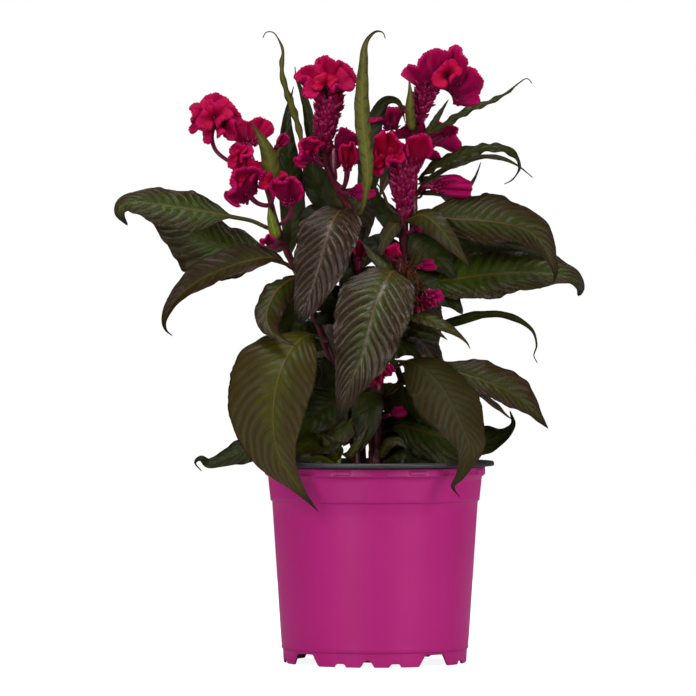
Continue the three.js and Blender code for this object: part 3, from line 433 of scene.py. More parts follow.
def crest_material():
    """Cockscomb crest: velvety, crimson within its folds and deeper magenta on the outside.

    The second map's first axis is 0 on a crest's inner side and 1 on its outer side.
    """
    material, tree, shader = start_material("crest_velvet_crimson")
    blade = add(tree, "ShaderNodeUVMap", {"uv_map": "blade"}).outputs[0]
    spots = add(tree, "ShaderNodeTexCoord").outputs["Object"]
    veins = add(tree, "ShaderNodeUVMap", {"uv_map": "veins"}).outputs[0]
    where = add(tree, "ShaderNodeSeparateXYZ", inputs={0: blade})
    outside = add(tree, "ShaderNodeSeparateXYZ", inputs={0: veins}).outputs[0]
    drift = add(tree, "ShaderNodeTexNoise", inputs={"Vector": spots, "Scale": 130.0,
        "Detail": 3.0}).outputs[0]
    # fine ribs from foot to edge, about 0.9 mm apart: the map's first axis is in millimetres
    stretched = add(tree, "ShaderNodeCombineXYZ", inputs={0: where.outputs[0],
        1: add(tree, "ShaderNodeMath", {"operation": "MULTIPLY"},
            {0: where.outputs[1], 1: 3.0}).outputs[0]}).outputs[0]
    ribs = add(tree, "ShaderNodeTexNoise", inputs={"Vector": stretched, "Scale": 1.1,
        "Detail": 2.0}).outputs[0]
    climb = add(tree, "ShaderNodeMath", {"operation": "MULTIPLY_ADD"},
        {0: drift, 1: 0.3, 2: where.outputs[1]}).outputs[0]
    height = add(tree, "ShaderNodeMapRange", SMOOTH, {"Value": climb, "From Min": 0.25,
        "From Max": 1.12}).outputs[0]
    inner = add(tree, "ShaderNodeMix", PICK, {0: height, 6: linear("680424"),
        7: linear("9C032A")})
    outer = add(tree, "ShaderNodeMix", PICK, {0: height, 6: linear("5E0430"),
        7: linear("900648")})
    ground = add(tree, "ShaderNodeMix", PICK, {0: outside, 6: inner.outputs[2],
        7: outer.outputs[2]})
    # painted highlight: the last tenth of a crest up to its edge turns towards a paler, pinker red,
    # as if lit along the rim
    edge = add(tree, "ShaderNodeMapRange", SMOOTH, {"Value": where.outputs[1],
        "From Min": 0.9, "From Max": 1.0, "To Max": 0.4}).outputs[0]
    rim_highlighted = add(tree, "ShaderNodeMix", PICK, {0: edge, 6: ground.outputs[2],
        7: linear("A00C4C")})
    # painted shade: the grooves between the fine ribs, where the relief is lowest, are darkened
    dark = add(tree, "ShaderNodeMapRange", SMOOTH, {"Value": ribs, "From Min": 0.6,
        "From Max": 0.34, "To Max": 0.16}).outputs[0]
    groove_shaded = add(tree, "ShaderNodeMix", PICK, {0: dark, 6: rim_highlighted.outputs[2],
        7: linear("4A0320")})
    tree.links.new(groove_shaded.outputs[2], shader.inputs["Base Color"])
    shader.inputs["Roughness"].default_value = 0.5
    shader.inputs["Specular IOR Level"].default_value = 0.05
    shader.inputs["Sheen Weight"].default_value = 0.02
    shader.inputs["Sheen Roughness"].default_value = 0.3
    shader.inputs["Sheen Tint"].default_value = linear("F04A8A")
    # pile about 0.5 mm
    pile = add(tree, "ShaderNodeTexNoise", inputs={"Vector": spots, "Scale": 1900.0,
        "Detail": 2.0}).outputs[0]
    relief = add(tree, "ShaderNodeMath", {"operation": "MULTIPLY_ADD"},
        {0: ribs, 1: 0.4, 2: pile}).outputs[0]
    bump = add(tree, "ShaderNodeBump", inputs={"Height": relief, "Strength": 0.5,
        "Distance": 0.0004})
    tree.links.new(bump.outputs[0], shader.inputs["Normal"])
    return material


def floret_material():
    """Florets: smooth and plump, magenta purple, paler and silvery at their points."""
    material, tree, shader = start_material("floret_satin_magenta")
    spots = add(tree, "ShaderNodeTexCoord").outputs["Object"]
    blade = add(tree, "ShaderNodeUVMap", {"uv_map": "blade"}).outputs[0]
    where = add(tree, "ShaderNodeSeparateXYZ", inputs={0: blade})
    drift = add(tree, "ShaderNodeTexNoise", inputs={"Vector": spots, "Scale": 260.0,
        "Detail": 2.0}).outputs[0]
    # the map's first axis is a floret's own shade, from crimson to purple
    shade = add(tree, "ShaderNodeMath", {"operation": "MULTIPLY_ADD"},
        {0: drift, 1: 0.4, 2: where.outputs[0]}).outputs[0]
    ground = add(tree, "ShaderNodeMix", PICK, {0: shade, 6: linear("6C0424"),
        7: linear("800842")})
    point = add(tree, "ShaderNodeMapRange", SMOOTH, {"Value": where.outputs[1],
        "From Min": 0.7, "From Max": 1.0, "To Max": 0.5}).outputs[0]
    paled = add(tree, "ShaderNodeMath", {"operation": "MULTIPLY"},
        {0: point, 1: where.outputs[0]}).outputs[0]
    tipped = add(tree, "ShaderNodeMix", PICK, {0: paled, 6: ground.outputs[2],
        7: linear("C86A96")})
    tree.links.new(tipped.outputs[2], shader.inputs["Base Color"])
    shader.inputs["Roughness"].default_value = 0.36
    shader.inputs["Specular IOR Level"].default_value = 0.1
    grain = add(tree, "ShaderNodeTexNoise", inputs={"Vector": spots, "Scale": 2200.0}).outputs[0]
    bump = add(tree, "ShaderNodeBump", inputs={"Height": grain, "Strength": 0.2,
        "Distance": 0.0002})
    tree.links.new(bump.outputs[0], shader.inputs["Normal"])
    return material


def stem_material(name, dark, light, streak):
    """A fleshy stem: satin, dark red, with paler streaks down its grooves."""
    material, tree, shader = start_material(name)
    blade = add(tree, "ShaderNodeUVMap", {"uv_map": "blade"}).outputs[0]
    spots = add(tree, "ShaderNodeTexCoord").outputs["Object"]
    # the map runs round by degrees and up by millimetres: streaks are long and narrow
    drawn = add(tree, "ShaderNodeMapping", inputs={"Vector": blade,
        "Scale": (14.0, 0.02, 1.0)}).outputs[0]
    lines = add(tree, "ShaderNodeTexNoise", inputs={"Vector": drawn, "Scale": 1.0,
        "Detail": 3.0}).outputs[0]
    patch = add(tree, "ShaderNodeTexNoise", inputs={"Vector": spots, "Scale": 60.0,
        "Detail": 2.0}).outputs[0]
    ground = add(tree, "ShaderNodeMix", PICK, {0: patch, 6: linear(dark), 7: linear(light)})
    lined = add(tree, "ShaderNodeMapRange", SMOOTH, {"Value": lines, "From Min": 0.54,
        "From Max": 0.7, "To Max": 0.7}).outputs[0]
    streaked = add(tree, "ShaderNodeMix", PICK, {0: lined, 6: ground.outputs[2],
        7: linear(streak)})
    tree.links.new(streaked.outputs[2], shader.inputs["Base Color"])
    shader.inputs["Roughness"].default_value = 0.34
    shader.inputs["Specular IOR Level"].default_value = 0.25
    grain = add(tree, "ShaderNodeTexNoise", inputs={"Vector": spots, "Scale": 900.0}).outputs[0]
    both = add(tree, "ShaderNodeMath", {"operation": "ADD"}, {0: grain, 1: lines}).outputs[0]
    bump = add(tree, "ShaderNodeBump", inputs={"Height": both, "Strength": 0.3,
        "Distance": 0.0003})
    tree.links.new(bump.outputs[0], shader.inputs["Normal"])
    return material


def pot_material():
    """Moulded polypropylene, satin magenta: broad soft highlights and a faint orange peel."""
    material, tree, shader = start_material("polypropylene_moulded_magenta")
    spots = add(tree, "ShaderNodeTexCoord").outputs["Object"]
    flow = add(tree, "ShaderNodeTexNoise", inputs={"Vector": spots, "Scale": 18.0,
        "Detail": 3.0}).outputs[0]
    ground = add(tree, "ShaderNodeMix", PICK, {0: flow, 6: linear("9E0E68"),
        7: linear("A6126E")})
    tree.links.new(ground.outputs[2], shader.inputs["Base Color"])
    rough = add(tree, "ShaderNodeMapRange", inputs={"Value": flow, "From Min": 0.3,
        "From Max": 0.7, "To Min": 0.4, "To Max": 0.47}).outputs[0]
    tree.links.new(rough, shader.inputs["Roughness"])
    shader.inputs["Specular IOR Level"].default_value = 0.36
    # orange peel, about 1.2 mm
    peel = add(tree, "ShaderNodeTexNoise", inputs={"Vector": spots, "Scale": 800.0,
        "Detail": 1.0}).outputs[0]
    bump = add(tree, "ShaderNodeBump", inputs={"Height": peel, "Strength": 0.08,
        "Distance": 0.0003})
    tree.links.new(bump.outputs[0], shader.inputs["Normal"])
    return material


def liner_material():
    """Thin black polypropylene: dull, scuffed a little greyer, with a fine highlight on edges."""
    material, tree, shader = start_material("polypropylene_thin_black")
    spots = add(tree, "ShaderNodeTexCoord").outputs["Object"]
    scuff = add(tree, "ShaderNodeTexNoise", inputs={"Vector": spots, "Scale": 240.0,
        "Detail": 5.0, "Roughness": 0.7}).outputs[0]
    ground = add(tree, "ShaderNodeMix", PICK, {0: scuff, 6: linear("141416"),
        7: linear("2B2A2C")})
    tree.links.new(ground.outputs[2], shader.inputs["Base Color"])
    rough = add(tree, "ShaderNodeMapRange", inputs={"Value": scuff, "To Min": 0.35,
        "To Max": 0.65}).outputs[0]
    tree.links.new(rough, shader.inputs["Roughness"])
    bump = add(tree, "ShaderNodeBump", inputs={"Height": scuff, "Strength": 0.15,
        "Distance": 0.0003})
    tree.links.new(bump.outputs[0], shader.inputs["Normal"])
    return material


def soil_material(name, dark, light, scale):
    """Damp potting mix: dark brown fibre and bark, almost without gloss."""
    material, tree, shader = start_material(name)
    spots = add(tree, "ShaderNodeTexCoord").outputs["Object"]
    crumb = add(tree, "ShaderNodeTexNoise", inputs={"Vector": spots, "Scale": scale,
        "Detail": 6.0, "Roughness": 0.7}).outputs[0]
    spread = add(tree, "ShaderNodeMapRange", SMOOTH, {"Value": crumb, "From Min": 0.35,
        "From Max": 0.7}).outputs[0]
    ground = add(tree, "ShaderNodeMix", PICK, {0: spread, 6: linear(dark), 7: linear(light)})
    tree.links.new(ground.outputs[2], shader.inputs["Base Color"])
    shader.inputs["Roughness"].default_value = 0.85
    bump = add(tree, "ShaderNodeBump", inputs={"Height": crumb, "Strength": 0.9,
        "Distance": 0.001})
    tree.links.new(bump.outputs[0], shader.inputs["Normal"])
    return material


# Fresh leaves: satin, dark green with a bronze flush at the margin.
GREEN = leaf_material("leaf_satin_green", "2C3A08", "2A1E0E", "3A3C16", "12120A", "543C22",
    0.27, 0.13, 0.6)
# Full-grown leaves: satin, bronze over olive, silvery where light slides over their crowns, with a
# grey painted sheen there too.
BRONZE = leaf_material("leaf_satin_bronze", "303809", "2C1E10", "4A3E30", "130D07", "5A3A2A",
    0.25, 0.26, 0.4)
# The oldest leaf: bronze almost to its midrib, with a grey painted sheen on its crowns.
AGED = leaf_material("leaf_satin_deep_bronze", "30300A", "2A1B11", "463A30", "130D07", "5A3426",
    0.25, 0.22, 0.0)
# Leaves of the right side: satin, dark olive that turns bronze.
DEEP = leaf_material("leaf_satin_dark_olive", "262C06", "2A1B10", "362E16", "130D06", "56381F",
    0.3, 0.1, 0.7)
# The limp leaf over the rim: satin, an even grey olive with faint veins.
LIMP = leaf_material("leaf_satin_grey_olive", "262608", "28200E", "2C2614", "1A1508", "342A16",
    0.36, 0.05, 0.5)
# The broad lower leaves: smoother and paler, olive with yellow-green feathering.
BROAD = leaf_material("leaf_satin_olive_bronze", "363C06", "30270F", "363014", "181206", "563E22",
    0.3, 0.08, 0.3)
# Young blades high on the plant: duller, yellowish olive, with a paler midrib.
OLIVE = leaf_material("leaf_dull_olive", "50541A", "38300F", "52501C", "1A160A", "66582C",
    0.44, 0.12, 0.7)
# Leaves low in the shade of the plant: a darker, greener copy of the leaf look, painted shade for
# their place in it.
SHADED = leaf_material("leaf_satin_dark", "222C08", "1C1807", "2A2C12", "0C0D05", "442818",
    0.34, 0.12, 0.8)
# Sheaths and unfolding leaves: soft yellow green.
FRESH = leaf_material("leaf_soft_yellow_green", "5E6C14", "4A4A18", "66702A", "2A2E10", "7A8A3A",
    0.4, 0.15, 0.8)
# Leaves that have aged or rolled over: satin, brown, and darker as painted shade for a blade that
# turns away from the light.
BROWN = leaf_material("leaf_satin_brown", "2C2E08", "26180B", "2C240F", "120B05", "4A3018",
    0.3, 0.09, 0.3)
UNDERSIDE = underside_material()
CREST = crest_material()
FLORET = floret_material()
STEM = stem_material("stem_satin_crimson", "320914", "541520", "6A3C2A")
STALK = stem_material("stalk_satin_magenta", "4E0A2A", "701238", "8A3C60")
SHOOT = stem_material("shoot_satin_green", "3E5A1C", "56702A", "7A5A3A")
SEPAL = stem_material("sepal_dry_brown", "3A2010", "54281A", "6A5020")
POT = pot_material()
LINER = liner_material()
SOIL = soil_material("potting_mix_damp", "150D08", "3A271A", 420.0)
BARK = soil_material("bark_chips_dry", "3A2415", "6A4A30", 700.0)
PERLITE = soil_material("perlite_chalky", "C8C2B6", "E6E2DA", 1500.0)


# ---- pots and soil ----
def spun(profile, steps, turn=0.0):
    """A profile of (radius, height) spun once round the pot's axis, closed at its poles."""
    bm = bmesh.new()
    verts = [bm.verts.new((radius, 0, height)) for radius, height in profile]
    edges = [bm.edges.new(pair) for pair in zip(verts, verts[1:])]
    start = Quaternion(UP, math.radians(turn - 90)).to_matrix()
    bmesh.ops.rotate(bm, cent=(0, 0, 0), matrix=start, verts=verts)
    bmesh.ops.spin(bm, geom=verts + edges, cent=(0, 0, 0), axis=(0, 0, 1),
        angle=2 * math.pi, steps=steps, use_merge=True)
    bmesh.ops.remove_doubles(bm, verts=bm.verts, dist=MERGE)
    bmesh.ops.recalc_face_normals(bm, faces=bm.faces)
    return bm


def offset_degrees(angle, centre):
    """How far an angle lies from a centre, from -180 to 180 degrees."""
    return (angle - centre + 180) % 360 - 180


# The notches in the skirt: degrees from each quarter turn, half-width by height.
NOTCHES = [
    (40, [(14.5, 0), (9, 8.7)]),
    (-5, [(5.3, 0), (3.2, 3.6), (0, 5.5)]),
    (12.5, [(4.85, 0), (3.3, 2.6)]),
    (-22.5, [(4.85, 0), (3.3, 2.6)]),
]


def notch_height(angle):
    """How high the skirt's lower edge is cut at an angle."""
    best = 0.0
    for centre, steps in NOTCHES:
        for quarter in range(4):
            away = abs(offset_degrees(angle, centre + 90 * quarter))
            far = math.radians(away) * SKIRT_RADIUS
            if far >= steps[0][0]:
                continue
            height = steps[-1][1]
            for (wide, low), (slim, high) in zip(steps, steps[1:]):
                if slim <= far <= wide:
                    height = mix(low, high, (wide - far) / (wide - slim))
            best = max(best, height)
    return best


def outer_pot():
    """The outer pot: notched at its lower edge, stepped, and panelled round its rim band."""
    wall_inside = SKIRT_RADIUS - WALL
    profile = [
        (0, 0), (FOOT_RADIUS - 0.6, 0), (FOOT_RADIUS, 0.6), (FOOT_RADIUS + 2.6, 9),
        (FOOT_RADIUS + 3.6, FLOOR_UNDERSIDE), (wall_inside - 0.8, FLOOR_UNDERSIDE),
        (wall_inside, FLOOR_UNDERSIDE - 0.8), (wall_inside, 6), (wall_inside, 3),
        (wall_inside, 0.4), (wall_inside + 0.4, 0), (SKIRT_RADIUS - 0.4, 0),
        (SKIRT_RADIUS, 0.4), (SKIRT_RADIUS + 0.2, 3), (SKIRT_RADIUS + 0.4, 6),
        (SKIRT_RADIUS + 0.6, SKIRT_HEIGHT - 0.6), (BASE_RADIUS - 0.3, SKIRT_HEIGHT - 0.2),
        (BASE_RADIUS + 0.1, SKIRT_HEIGHT + 0.5), (BASE_RADIUS + 0.05, SKIRT_HEIGHT + 3),
    ]
    rings = 10
    for i in range(1, rings):
        share = i / rings
        profile.append((mix(BASE_RADIUS, STEP_RADIUS, share),
            mix(SKIRT_HEIGHT, COLLAR_BOTTOM, share)))
    profile += [
        (STEP_RADIUS, COLLAR_BOTTOM - 0.8), (STEP_RADIUS + 0.25, COLLAR_BOTTOM - 0.1),
        (STEP_RADIUS + 1.0, COLLAR_BOTTOM + 0.1), (STEP_RADIUS + 1.35, COLLAR_BOTTOM + 0.6),
        (STEP_RADIUS + 1.5, COLLAR_BOTTOM + 3),
        (COLLAR_RADIUS - 0.2, RIM_BOTTOM - 4), (COLLAR_RADIUS, RIM_BOTTOM - 1.4),
        (COLLAR_RADIUS + 0.3, RIM_BOTTOM - 0.9), (RIM_RADIUS - 0.5, RIM_BOTTOM + 0.5),
        (RIM_RADIUS, RIM_BOTTOM + 1.1), (RIM_RADIUS, RIM_BOTTOM + 1.5),
        (RIM_RADIUS, RIM_BOTTOM + 1.8), (RIM_RADIUS, POT_HEIGHT - 1.5),
        (RIM_RADIUS, POT_HEIGHT - 1.2), (RIM_RADIUS, POT_HEIGHT - 0.7),
        (RIM_RADIUS - 0.35, POT_HEIGHT - 0.2), (RIM_RADIUS - WALL, POT_HEIGHT),
        (COLLAR_RADIUS - WALL, RIM_BOTTOM - 1.2), (STEP_RADIUS - WALL, COLLAR_BOTTOM - 1),
        (BASE_RADIUS - WALL, FLOOR_UNDERSIDE + WALL + 1),
        (BASE_RADIUS - WALL - 1, FLOOR_UNDERSIDE + WALL), (0, FLOOR_UNDERSIDE + WALL),
    ]
    bm = spun(profile, 360, PANEL_START)
    for vert in bm.verts:
        x, y, z = vert.co
        radius = math.hypot(x, y)
        if radius < 20:
            continue
        angle = math.degrees(math.atan2(x, -y))
        if radius > wall_inside - 0.1 and z < SKIRT_HEIGHT - 1:
            # the notches: the skirt is drawn up from its lower edge
            cut = notch_height(angle)
            vert.co.z = mix(cut, SKIRT_HEIGHT - 1, z / (SKIRT_HEIGHT - 1))
        if z > RIM_BOTTOM + 1.6 and z < POT_HEIGHT - 1.3 and radius > RIM_RADIUS - 0.1:
            # every other panel of the rim band lies a little deeper, with a crisp edge
            centre = round((angle - PANEL_START) / PANEL_STEP) * PANEL_STEP + PANEL_START
            away = offset_degrees(angle, centre)
            if abs(away) < PANEL_HALF:
                vert.co.x *= (RIM_RADIUS - PANEL_DEPTH) / RIM_RADIUS
                vert.co.y *= (RIM_RADIUS - PANEL_DEPTH) / RIM_RADIUS
            if PANEL_HALF - 1 < abs(away) < PANEL_HALF + 1:
                shift = 0.45 if abs(away) < PANEL_HALF else -0.25
                turn = Quaternion(UP, math.radians(math.copysign(shift, away)))
                vert.co = turn @ vert.co
    finish_piece("outer_pot_shell", bm, [POT], "pot", "outer_pot")


def inner_pot():
    """The liner, whose rolled lip rests on the outer pot's rim."""
    lip_bottom = POT_HEIGHT + GAP
    profile = [
        (0, LINER_FLOOR), (LINER_BASE_RADIUS - 1, LINER_FLOOR),
        (LINER_BASE_RADIUS, LINER_FLOOR + 1), (LINER_STEP_RADIUS, LINER_STEP),
        (LINER_TOP_RADIUS - 0.2, lip_bottom - 1.5), (LINER_TOP_RADIUS + 1, lip_bottom),
        (LIP_RADIUS - 1.2, lip_bottom), (LIP_RADIUS - 0.4, lip_bottom + 0.2),
        (LIP_RADIUS - 0.05, lip_bottom + 0.8), (LIP_RADIUS, LIP_TOP - 1.6),
        (LIP_RADIUS - 0.25, LIP_TOP - 0.8), (LIP_RADIUS - 0.8, LIP_TOP - 0.2),
        (LIP_RADIUS - 1.8, LIP_TOP), (LIP_RADIUS - 5, LIP_TOP + 0.1),
        (LIP_RADIUS - 8.4, LIP_TOP), (LIP_RADIUS - 9.6, LIP_TOP - 0.5),
        (LINER_TOP_RADIUS - LINER_WALL - 0.1, LIP_TOP - 3),
        (LINER_STEP_RADIUS - LINER_WALL + 0.4, LINER_STEP + 1),
        (LINER_STEP_RADIUS - LINER_WALL, LINER_STEP - 1),
        (LINER_BASE_RADIUS - LINER_WALL, LINER_FLOOR + 2.5), (0, LINER_FLOOR + 1.5),
    ]
    finish_piece("inner_pot_shell", spun(profile, 180), [LINER], "liner", "inner_pot")


def soil_height(x, y, top_radius):
    """The height of the potting mix: a low mound, crumbly at every size."""
    radius = math.hypot(x, y) / top_radius
    mound = mix(SOIL_TOP + SOIL_MOUND, SOIL_TOP - 5, radius**1.6)
    lumps = noise.noise(Vector((x, y, 3.0)) / 17) * 2.2
    crumbs = noise.noise(Vector((x, y, 8.0)) / 5) * 1.3
    grit = noise.noise(Vector((x, y, 1.0)) / 1.9) * 0.8
    return mound + lumps + crumbs + grit


def soil_plug():
    """The potting mix that fills the liner, and the loose grains on it."""
    bottom = LINER_FLOOR + 1.5 + GAP
    clear = LINER_WALL + GAP + 0.3
    top_radius = LINER_TOP_RADIUS - clear - 0.4
    rings = 44
    profile = [(0, bottom), (LINER_BASE_RADIUS - clear, bottom),
        (LINER_STEP_RADIUS - clear, LINER_STEP)]
    profile += [(top_radius * (1 - i / rings), SOIL_TOP) for i in range(rings + 1)]
    bm = spun(profile, 200)
    for vert in bm.verts:
        if vert.co.z > LINER_STEP + 5:
            vert.co.z = soil_height(vert.co.x, vert.co.y, top_radius)
    finish_piece("soil_surface", bm, [SOIL], "soil", "soil")
    # loose crumbs, bark and perlite lie half sunk on it
    draw = seeded(41)
    kinds = [("soil_crumbs", SOIL, 420, 0.7, 2.2, 0.7), ("soil_bark", BARK, 150, 1.2, 4.0, 0.3),
        ("soil_perlite", PERLITE, 60, 0.6, 1.5, 0.8)]
    for name, material, count, small, large, flat in kinds:
        bm = bmesh.new()
        for _ in range(count):
            away = top_radius * 0.97 * math.sqrt(draw())
            angle = 2 * math.pi * draw()
            x, y = away * math.cos(angle), away * math.sin(angle)
            size = mix(small, large, draw() ** 2)
            made = bmesh.ops.create_icosphere(bm, subdivisions=1, radius=size)["verts"]
            for vert in made:
                vert.co *= mix(0.75, 1.2, draw())
                vert.co.z *= flat
            turn = Quaternion((draw() - 0.5, draw() - 0.5, 1), 6.28 * draw()).to_matrix()
            bmesh.ops.rotate(bm, cent=(0, 0, 0), matrix=turn, verts=made)
            base = Vector((x, y, soil_height(x, y, top_radius) + size * 0.25))
            bmesh.ops.translate(bm, vec=base, verts=made)
        finish_piece(name, bm, [material], "soil", "soil")


# ---- stems ----
# Each: its axis, and its radius at the foot and at the tip.
STEMS = {
    "stem_main": ([(0, 0, 122), (0, 0, 150), (1, 0, 200), (6, 0, 240), (13, 0, 275),
        (20, 0, 300), (22, 0, 325), (22, -2, 345)], (4.6, 3)),
    "branch_right": ([(17, 1, 285), (22, 10, 300), (28, 16, 322), (30, 18, 350), (30, 18, 380),
        (31, 14, 410), (35, 12, 425)], (2.8, 2.4)),
    "stem_centre": ([(-10, 14, 122), (-10, 14, 150), (-12, 14, 200), (-14, 14, 260),
        (-14, 12, 320), (-16, 10, 338), (-20, 8, 350), (-28, 6, 363), (-36, 4, 380),
        (-41, 2, 396)], (3.6, 2.4)),
    "stem_left": ([(-12, 4, 122), (-14, 4, 150), (-22, 8, 200), (-42, 8, 255), (-60, 6, 300),
        (-72, 4, 325), (-78, 2, 345), (-83, 2, 365), (-88, 4, 385)], (3.4, 2)),
    "shoot": ([(-29, -14, 126), (-29, -14, 146), (-27, -13, 160), (-25, -12, 166)], (1.6, 1.2)),
}
LINES = {name: Line(points) for name, (points, _) in STEMS.items()}
NODES = {"branch_right": "stem_main"}  # a branch is one piece with its stem


def tube(bm, line, radius, sides, pitch, ridge=0.0, ridges=7):
    """Adds a round stalk along a line, with a row each pitch and ridges down it."""
    rows = max(int(line.length / pitch), 8)
    frames = Frames(line, (0, -1, 0.1))
    spots = [(frames.at(i / rows), radius(i / rows)) for i in range(rows + 1)]

    def place(i, k):
        (at, side, normal), girth = spots[i]
        if i in (0, rows):
            return at
        angle = 2 * math.pi * k / sides
        wide = girth * (1 + ridge * math.cos(ridges * angle + 3 * i / rows))
        wide *= 1 + 0.04 * noise.noise(at / 6)
        return at + (normal * math.cos(angle) + side * math.sin(angle)) * wide

    def marks(i, k):
        return (k / sides, i * pitch), (0, 0)

    wrapped(bm, rows, sides, place, marks)


def new_skin():
    """An empty bmesh with the two UV maps that the plant's materials read."""
    bm = bmesh.new()
    bm.loops.layers.uv.new("blade")
    bm.loops.layers.uv.new("veins")
    return bm


def stem(name):
    """A stem or branch, a little thicker at its joints."""
    low, high = STEMS[name][1]
    material = SHOOT if name == "shoot" else STEM
    roots = [each["points"][0] for each in every_leaf() if each["on"] == name]
    line = LINES[name]
    spots = []
    for root in roots:
        near = line.nearest(Vector(root))
        spots.append(min(range(201), key=lambda i: (line.at(i / 200) - near).length) / 200)

    def radius(t):
        # joints swell where leaves spring from it
        swell = sum(math.exp(-(((t - s) * line.length / 3.5) ** 2)) for s in spots)
        return mix(low, high, t) * (1 + 0.22 * min(swell, 1))

    bm = new_skin()
    tube(bm, line, radius, 28, 1.8, 0.045)
    finish_piece(f"{name}_stalk", bm, [material], "stem", NODES.get(name, name))


# ---- leaves ----
# Half-width along the blade, as shares of the widest: (share of length, share of width).
OUTLINE = [(0, 0.07), (0.07, 0.3), (0.17, 0.74), (0.3, 0.98), (0.42, 1), (0.56, 0.86),
    (0.7, 0.6), (0.82, 0.32), (0.91, 0.15), (1, 0.02)]


def width_share(t):
    """The blade's half-width at a share of its length."""
    t = clamp(t)
    i = 0
    while i < len(OUTLINE) - 2 and OUTLINE[i + 1][0] <= t:
        i += 1
    knots = [OUTLINE[clamp(i + k, 0, len(OUTLINE) - 1)] for k in (-1, 0, 1, 2)]
    (_, before), (t1, w1), (t2, w2), (_, after) = knots
    x = clamp((t - t1) / (t2 - t1))
    leave = (w2 - before) / 2
    arrive = (after - w1) / 2
    smooth = (w1 + leave * x + (3 * (w2 - w1) - 2 * leave - arrive) * x * x
        + (2 * (w1 - w2) + leave + arrive) * x * x * x)
    return max(mix(w1, w2, x) * 0.2 + smooth * 0.8, 0.02)


